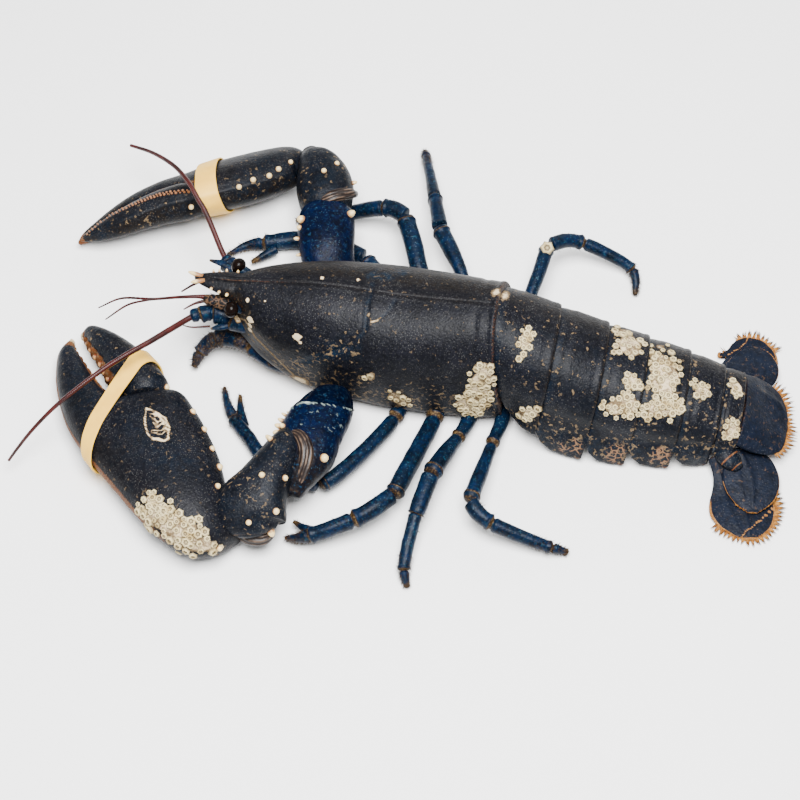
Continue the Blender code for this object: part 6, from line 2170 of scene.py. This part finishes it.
@dataclass
class WalkingLegs:
    """All eight legs and the bristles at their tips."""

    legs: Sequence[Leg] = LEGS
    seed: int = 5
    # First share of the lower piece with bristles, and their count
    hair_runs: Sequence[tuple[float, int]] = ((0.66, 320), (0.05, 110))
    thumb_hairs: tuple[float, int] = (0.25, 70)
    hair_thickness: float = 0.11

    def build(self) -> dict[str, bpy.types.Object]:
        """Upper and lower pieces, returned by node name, and the bristles.

        Returns:
            The legs' pieces by node name.
        """
        draw = np.random.default_rng(self.seed)
        made, tuft = {}, Tuft()
        for number, leg in enumerate(self.legs):
            upper = leg.skin(leg.upper, (leg.upper_joint,), 200 + 10 * number, False)
            lower = leg.skin(leg.lower, leg.joints, 205 + 10 * number, True)
            for node, skin in ((f"{leg.name}_upper", upper), (f"{leg.name}_lower", lower)):
                made[node] = register(skin.build(node + "_shell", LIMB), "limb", node)
            for start, count in self.hair_runs:
                tuft.add(*leg.hairs(lower, start, count, draw))
            if leg.thumb:
                thumb = limb(leg.thumb, 60, 24, 0.92, 0.4)
                thumb.paint("warm", 0.9 * ease(0.45, 0.9, thumb.along)).paint("blue", 0.6)
                register(thumb.build(f"{leg.name}_thumb", LIMB), "limb", f"{leg.name}_lower")
                tuft.add(*leg.hairs(thumb, *self.thumb_hairs, draw))
        register(tuft.build("leg_bristles", self.hair_thickness, HAIR), "bristle")
        return made


@dataclass
class Head:
    """Eyes, feelers with their bases, and the jaw legs."""

    eye_left: Rows = (
        (-67.0, -8.6, 38.0, 1.8, 1.8), (-71.4, -10.0, 40.2, 2.0, 2.0), (-73.2, -10.5, 40.9, 2.2, 2.2)
    )
    eye_right: Rows = (
        (-67.5, 9.0, 38.0, 1.8, 1.8), (-72.6, 11.0, 40.2, 2.0, 2.0), (-74.4, 11.6, 40.9, 2.2, 2.2)
    )
    eye_balls: Rows = ((-72.0, -11.4, 41.0), (-73.6, 12.1, 41.0))
    seed: int = 9
    eye_radius: float = 3.5
    hair_thickness: float = 0.13
    base_left: Rows = (
        (-64.0, -7.8, 27.0, 4.6, 4.2), (-71.0, -7.8, 28.4, 4.8, 4.6), (-78.0, -7.0, 30.2, 4.4, 4.2),
        (-84.0, -7.8, 30.6, 3.4, 3.4), (-89.8, -10.4, 30.4, 2.8, 2.8),
    )
    base_right: Rows = (
        (-64.0, 9.5, 27.0, 4.8, 4.4), (-71.0, 13.5, 28.5, 5.0, 4.6), (-78.0, 18.0, 30.2, 4.2, 4.0),
        (-82.2, 21.4, 31.2, 2.9, 2.8),
    )
    blade_left: Rows = (
        (-72.5, -9.6, 28.4, 2.4, 1.6), (-77.0, -12.2, 28.2, 1.8, 1.1), (-81.0, -14.0, 28.0, 0.5, 0.4)
    )
    blade_right: Rows = (
        (-73.0, 14.0, 31.0, 2.6, 1.6), (-80.0, 17.0, 33.0, 2.2, 1.2), (-88.0, 18.0, 33.6, 0.6, 0.5)
    )
    antenna_left: Rows = (
        (-87.8, -8.8, 30.4, 1.6, 1.6), (-91.4, -12.6, 30.9, 1.35, 1.35),
        (-97.0, -20.6, 33.2, 1.35, 1.35), (-103.6, -29.8, 35.6, 1.3, 1.3),
        (-112.0, -39.6, 37.2, 1.2, 1.2), (-120.8, -49.2, 36.8, 1.1, 1.1), (-131.4, -59.4, 32.4, 1.0, 1.0),
        (-139.6, -66.0, 26.4, 0.9, 0.9), (-147.4, -73.4, 19.0, 0.8, 0.8), (-152.6, -80.0, 13.6, 0.7, 0.7),
        (-155.6, -84.4, 10.2, 0.6, 0.6),
    )
    antenna_right: Rows = (
        (-80.8, 20.4, 31.2, 1.5, 1.5), (-84.2, 24.6, 32.4, 1.3, 1.3),
        (-90.6, 34.4, 36.0, 1.25, 1.25), (-95.6, 41.8, 38.0, 1.2, 1.2),
        (-99.3, 46.2, 39.0, 1.15, 1.15), (-104.4, 53.1, 39.4, 1.1, 1.1), (-112.0, 62.0, 37.4, 1.0, 1.0),
        (-119.8, 68.8, 34.4, 0.95, 0.95), (-128.5, 75.0, 30.4, 0.85, 0.85), (-138.9, 80.3, 26.0, 0.75, 0.75),
    )
    strand_foot: Rows = (
        (-67.0, -4.6, 36.4, 3.4, 3.0), (-74.0, -5.6, 37.0, 3.9, 3.2), (-80.0, -5.8, 37.4, 3.1, 2.6),
        (-84.6, -5.4, 38.0, 1.8, 1.7),
    )
    strands: tuple[tuple[str, tuple[Rows, ...]], ...] = (
        ("antennule_left", (
            ((-74.0, -3.6, 36.0, 2.0, 2.0), (-82.0, -4.4, 37.5, 1.6, 1.6), (-88.0, -5.2, 38.3, 0.9, 0.9),
             (-97.0, -5.8, 36.4, 0.7, 0.7), (-108.4, -5.6, 32.0, 0.6, 0.6), (-123.4, -3.6, 26.0, 0.5, 0.5),
             (-133.2, -7.5, 22.0, 0.3, 0.3)),
            ((-104.5, -5.8, 33.6, 0.6, 0.6), (-112.0, -6.4, 31.0, 0.5, 0.5), (-120.2, -7.6, 27.0, 0.5, 0.5),
             (-128.7, -13.0, 22.0, 0.3, 0.3)),
            ((-83.0, -5.2, 37.0, 0.9, 0.9), (-89.0, -6.8, 35.2, 0.6, 0.6), (-94.0, -8.6, 32.0, 0.3, 0.3)),
            ((-82.0, -12.6, 27.6, 0.5, 0.5), (-90.0, -13.0, 25.5, 0.4, 0.4), (-95.4, -11.4, 24.0, 0.2, 0.2)),
        )),
        ("antennule_right", (
            ((-74.0, 3.6, 36.0, 2.0, 2.0), (-82.0, 4.4, 37.0, 1.6, 1.6), (-87.0, 5.0, 37.2, 0.9, 0.9),
             (-92.0, 3.0, 35.0, 0.6, 0.6), (-97.0, 0.5, 32.0, 0.4, 0.4)),
        )),
    )
    jaw_leg: Rows = (
        (-44.0, -15.0, 7.6, 3.4, 2.8), (-54.0, -14.6, 11.4, 4.2, 3.4), (-66.0, -9.6, 14.6, 4.4, 3.8),
        (-76.5, -7.6, 13.4, 4.0, 3.8), (-83.5, -9.4, 10.6, 3.6, 3.4), (-87.4, -14.2, 7.0, 2.8, 2.6),
        (-88.8, -19.0, 4.2, 1.5, 1.5),
    )

    def strand_base(self, side: Side) -> None:
        """Stout mottled foot of the short feelers, below the beak.

        Args:
            side: side of the animal.
        """
        foot = limb([(x, -side.value * y, *rest) for x, y, *rest in self.strand_foot], 70, 40, 0.92, 0.8)
        joints = hill(foot.along, 0.34, 0.03) + hill(foot.along, 0.72, 0.03)
        foot.press(0.5 * noise(foot.points, 2.6, 321) - 0.5 * joints)
        foot.paint("brown", 0.9).paint("blue", 0.9 * joints)
        foot.paint("net", 0.45 * (noise(foot.points, 2.4, 322) > 0.0))
        register(foot.build(f"antennule_foot_{side.word}", SHELL), "limb", f"antennule_{side.word}")

    def feeler(self, rows: Rows, rings: int, around: int) -> Surface:
        """A tapering tube with fine rings, its mask the distance along it.

        Args:
            rows: the stations.
            rings: sections along it.
            around: points round it.

        Returns:
            Its surface.
        """
        skin = limb(rows, rings, around, 1.0, 0.3)
        skin.masks["along"] = skin.travel
        return skin.press(0.05 * np.sin(skin.travel * 7.0))

    def eye(self, side: Side) -> None:
        """Stalk and glossy ball, the ball a sphere flattened a little along the stalk.

        Args:
            side: side of the animal.
        """
        stalk = limb(self.eye_left if side is Side.LEFT else self.eye_right, 30, 24, 1.0, 0.4)
        stalk.paint("warm", 0.7 * ease(0.5, 0.9, stalk.along)).paint("blue", 0.3)
        register(stalk.build(f"eye_stalk_{side.word}", LIMB), "limb", f"eye_{side.word}")
        middle = np.array(self.eye_balls[0 if side is Side.LEFT else 1])
        forward = unit(np.array([-1.0, 0.35 * side.value, 0.45]))
        tilt = np.linspace(0.12, math.pi - 0.12, 28)[:, None]
        turn = circle(36)[None]
        across = unit(np.cross(forward, UP))
        above = np.cross(across, forward)
        ring = np.cos(turn)[..., None] * across + np.sin(turn)[..., None] * above
        ball = middle + self.eye_radius * (
            -0.9 * np.cos(tilt)[..., None] * forward + np.sin(tilt)[..., None] * ring
        )
        skin = Surface(ball, push=0.03)
        register(skin.build(f"eye_ball_{side.word}", EYE), "eye", f"eye_{side.word}")

    def base(self, side: Side) -> None:
        """Stout joints of the feeler's base, its blade and the feeler.

        Args:
            side: side of the animal.
        """
        word = side.word
        left = side is Side.LEFT
        skin = limb(self.base_left if left else self.base_right, 90, 40, 0.9, 1.0)
        share, points = skin.along, skin.points
        amount = 0.2 * noise(points, 3.0, 301)
        for joint in (0.34, 0.62, 0.84):
            lean = 1.0 + 0.7 * np.cos(skin.turn - 5.0 * joint)
            step = 0.55 * hill(share, joint - 0.04, 0.05) - 0.8 * hill(share, joint + 0.02, 0.022)
            amount = amount + lean * step
            skin.paint("warm", 0.8 * hill(share, joint, 0.025))
        skin.press(amount)
        skin.paint("blue", 0.75 + 0.4 * noise(points, 3.0, 302))
        patch = np.linalg.norm(points - np.array([-69.0, side.value * 9.0, 33.0]), axis=-1)
        skin.paint("crust", 0.7 * (1.0 - ease(1.8, 3.4, patch * (1.0 + 0.3 * noise(points, 2.0, 303)))))
        register(skin.build(f"feeler_base_{word}", LIMB), "limb", f"antenna_base_{word}")
        blade = limb(self.blade_left if left else self.blade_right, 50, 24, 1.0, 0.3)
        blade.paint("warm", 0.8 * ease(0.7, 1.0, blade.along)).paint("blue", 0.9)
        register(blade.build(f"feeler_blade_{word}", LIMB), "limb", f"antenna_base_{word}")
        whip = self.feeler(self.antenna_left if left else self.antenna_right, 420, 14)
        register(whip.build(f"antenna_whip_{word}", FEELER), "feeler", f"antenna_{word}")

    def jaws(self, side: Side, draw: np.random.Generator) -> tuple[Array, Array]:
        """A jaw leg; returns the roots and tips of its bristles.

        Args:
            side: side of the animal.
            draw: random numbers.

        Returns:
            The roots and tips of its bristles.
        """
        rows = [(x, -side.value * y, *rest) for x, y, *rest in self.jaw_leg]
        leg = Leg(f"jaw_leg_{side.word}", rows, rows)
        skin = leg.skin(rows, (0.32, 0.58, 0.80), 310, True)
        skin.paint("warm", 0.5 * (noise(skin.points, 4.0, 312) > 0.0))
        register(skin.build(f"jaw_leg_{side.word}_shell", LIMB), "limb", f"jaw_leg_{side.word}")
        return leg.hairs(skin, 0.25, 420, draw)

    def build(self) -> None:
        """Everything on the head."""
        draw = np.random.default_rng(self.seed)
        tuft = Tuft()
        for side in Side:
            self.eye(side)
            self.base(side)
            self.strand_base(side)
            tuft.add(*self.jaws(side, draw))
        for node, strands in self.strands:
            for number, rows in enumerate(strands):
                piece = self.feeler(rows, 160, 10).build(f"{node}_strand_{number + 1}", FEELER)
                register(piece, "feeler", node)
        register(tuft.build("jaw_bristles", self.hair_thickness, HAIR), "bristle")


@dataclass
class Growths:
    """Barnacles and knobs on the finished shell pieces."""

    seed: int = 33
    size: float = 2.05
    height: float = 1.15
    # Radius, height and painted shade (dark at the foot and in the mouth) from the foot to the bottom of the
    # mouth
    cup: Rows = (
        (1.04, -0.5, 0.95), (0.98, 0.15, 0.65), (0.76, 0.80, 0.0), (0.56, 0.92, 0.0), (0.38, 0.32, 1.0),
        (0.10, 0.40, 0.4),
    )
    cup_sides: int = 12
    cup_lobes: float = 0.11
    # Sizes and heights vary between these shares; the usual spacing is the one that size is meant for
    grown: tuple[float, float] = (0.62, 1.15)
    taller: tuple[float, float] = (0.75, 1.25)
    usual_spacing: float = 3.5
    lean: float = 0.10
    # Least cosine between the surface's normal and the shown side
    least_facing: float = 0.05
    dome: Rows = (
        (1.0, -0.6, 1.0), (1.0, 0.0, 1.0), (0.90, 0.34, 0.7), (0.72, 0.66, 0.2), (0.44, 0.90, 0.0),
        (0.16, 1.0, 0.0),
    )
    dome_sides: int = 16
    knee_barnacle: tuple[float, float, float] = (56.2, 59.8, 20.6)
    knee_size: tuple[float, float] = (3.0, 1.6)
    spine_ratio: float = 1.5
    knob_scale: float = 0.88

    def barnacles(self, pieces: dict[str, bpy.types.Object]) -> bpy.types.Object:
        """All clusters dropped on their pieces, as one mesh.

        Args:
            pieces: finished pieces by node name.

        Returns:
            The barnacles' object.
        """
        draw = np.random.default_rng(self.seed)
        places, outward, sizes = [], [], []
        for cluster in CLUSTERS:
            ground = Ground(pieces[cluster.node])
            for spot in cluster.spots(draw):
                found = ground.hit(spot)
                if found and found[1] @ unit(SHOWN_SIDE) > self.least_facing:
                    places.append(found[0])
                    outward.append(unit(found[1] + draw.normal(0.0, self.lean, 3)))
                    grown = draw.uniform(*self.grown) * cluster.spacing / self.usual_spacing
                    sizes.append((grown * self.size, grown * self.height * draw.uniform(*self.taller)))
        found = Ground(pieces["leg_5_right_upper"]).hit(np.array(self.knee_barnacle))
        if found:
            places.append(found[0])
            outward.append(found[1])
            sizes.append(self.knee_size)
        turns = draw.uniform(0.0, math.pi, len(places))
        return scattered(
            "barnacles", self.cup, self.cup_sides, np.array(places), np.array(outward), np.array(sizes),
            CHALK, "pit", self.cup_lobes, turns,
        )

    def knobs(self, pieces: dict[str, bpy.types.Object]) -> bpy.types.Object:
        """All knobs and spines, as one mesh.

        Args:
            pieces: finished pieces by node name.

        Returns:
            The knobs' object.
        """
        places, outward, sizes = [], [], []
        for knob in KNOBS:
            ground = Ground(pieces[knob.node])
            spine = knob.height > self.spine_ratio * knob.radius
            found = None if spine else ground.hit(np.array(knob.spot))
            found = found or ground.nearest(np.array(knob.spot))
            places.append(found[0])
            outward.append(unit(knob.toward) if knob.toward else found[1])
            sizes.append((self.knob_scale * knob.radius, knob.height))
        return scattered(
            "knobs", self.dome, self.dome_sides, np.array(places), np.array(outward), np.array(sizes),
            HORN, "base",
        )

    def build(self, pieces: dict[str, bpy.types.Object]) -> None:
        """Both kinds."""
        register(self.barnacles(pieces), "barnacle")
        register(self.knobs(pieces), "horn")


# Setting


@dataclass
class Studio:
    """White floor, soft lights and the camera."""

    target: tuple[float, float, float] = (3.2, -18.2, 0.0)
    elevation: float = 57.0
    azimuth: float = 10.0
    distance: float = 1173.0
    lens: float = 120.0
    sensor: float = 36.0
    # Place, size, power in watts
    lights: Rows = ((60.0, -260.0, 1000.0, 560.0, 47.0), (150.0, 900.0, 560.0, 500.0, 3.0))
    floor_half: float = 4000.0
    floor_height: float = -0.02
    world: float = 0.62

    def floor(self) -> None:
        """A large square below the animal, a little lower than its feet."""
        square = np.array([(-1.0, -1.0), (1.0, -1.0), (1.0, 1.0), (-1.0, 1.0)])
        corners = np.column_stack([square * self.floor_half, np.full(4, self.floor_height)])
        paper = PlainFinish("floor_paper", (0.90, 0.90, 0.90), (0.88, 0.88, 0.88), 400.0, 3.0, 0.01, 0.8)
        mesh_object("floor", corners, [np.array([[0, 1, 2, 3]])], paper, {})

    def light(self, number: int, row: Sequence[float]) -> None:
        """One square softbox that looks at the animal.

        Args:
            number: its number, for its name.
            row: place, size and power.
        """
        lamp = bpy.data.lights.new(f"softbox_{number}", "AREA")
        lamp.size = row[3] * MM
        lamp.energy = row[4]
        made = bpy.data.objects.new(f"softbox_{number}", lamp)
        made.location = Vector(row[:3]) * MM
        made.rotation_euler = (Vector((0.0, 0.0, 0.0)) - made.location).to_track_quat("-Z", "Y").to_euler()
        bpy.context.scene.collection.objects.link(made)

    def camera(self) -> None:
        """A long lens at the photograph's viewing angle."""
        up, round_about = math.radians(self.elevation), math.radians(self.azimuth)
        back = np.array([
            math.sin(round_about) * math.cos(up), -math.cos(round_about) * math.cos(up), math.sin(up)
        ])
        lens = bpy.data.cameras.new("camera")
        lens.lens = self.lens
        lens.sensor_width = self.sensor
        made = bpy.data.objects.new("camera", lens)
        made.location = Vector((np.array(self.target) + self.distance * back) * MM)
        made.rotation_euler = Vector(-back).to_track_quat("-Z", "Y").to_euler()
        bpy.context.scene.collection.objects.link(made)
        bpy.context.scene.camera = made

    def build(self) -> None:
        """Floor, lights, sky and camera."""
        self.floor()
        for number, row in enumerate(self.lights):
            self.light(number, row)
        sky = bpy.data.worlds.new("sky")
        sky.use_nodes = True
        background = sky.node_tree.nodes["Background"]
        background.inputs["Color"].default_value = (1.0, 1.0, 1.0, 1.0)
        background.inputs["Strength"].default_value = self.world
        bpy.context.scene.world = sky
        self.camera()


def main() -> None:
    """Builds the setting and every sub-assembly, in order."""
    logging.basicConfig(level=logging.INFO, format="%(message)s")
    Studio().build()
    pieces = {"carapace": Carapace().build()}
    for number, piece in enumerate(Abdomen().build()):
        pieces[f"abdomen_{number + 1}"] = piece
    TailFan().build()
    claws = CrusherClaw().build()
    pieces.update(zip(("crusher_palm", "crusher_finger", "crusher_carpus", "crusher_merus"), claws))
    BANDS["left"].build(claws[:2])
    claws = CutterClaw().build()
    pieces.update(zip(("cutter_palm", "cutter_finger", "cutter_carpus", "cutter_merus"), claws))
    BANDS["right"].build(claws[:2])
    pieces.update(WalkingLegs().build())
    Head().build()
    Growths().build(pieces)
    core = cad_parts["sternum"]
    core.data.materials.clear()
    core.data.materials.append(BELLY.material())


if __name__ == "__main__":
    main()
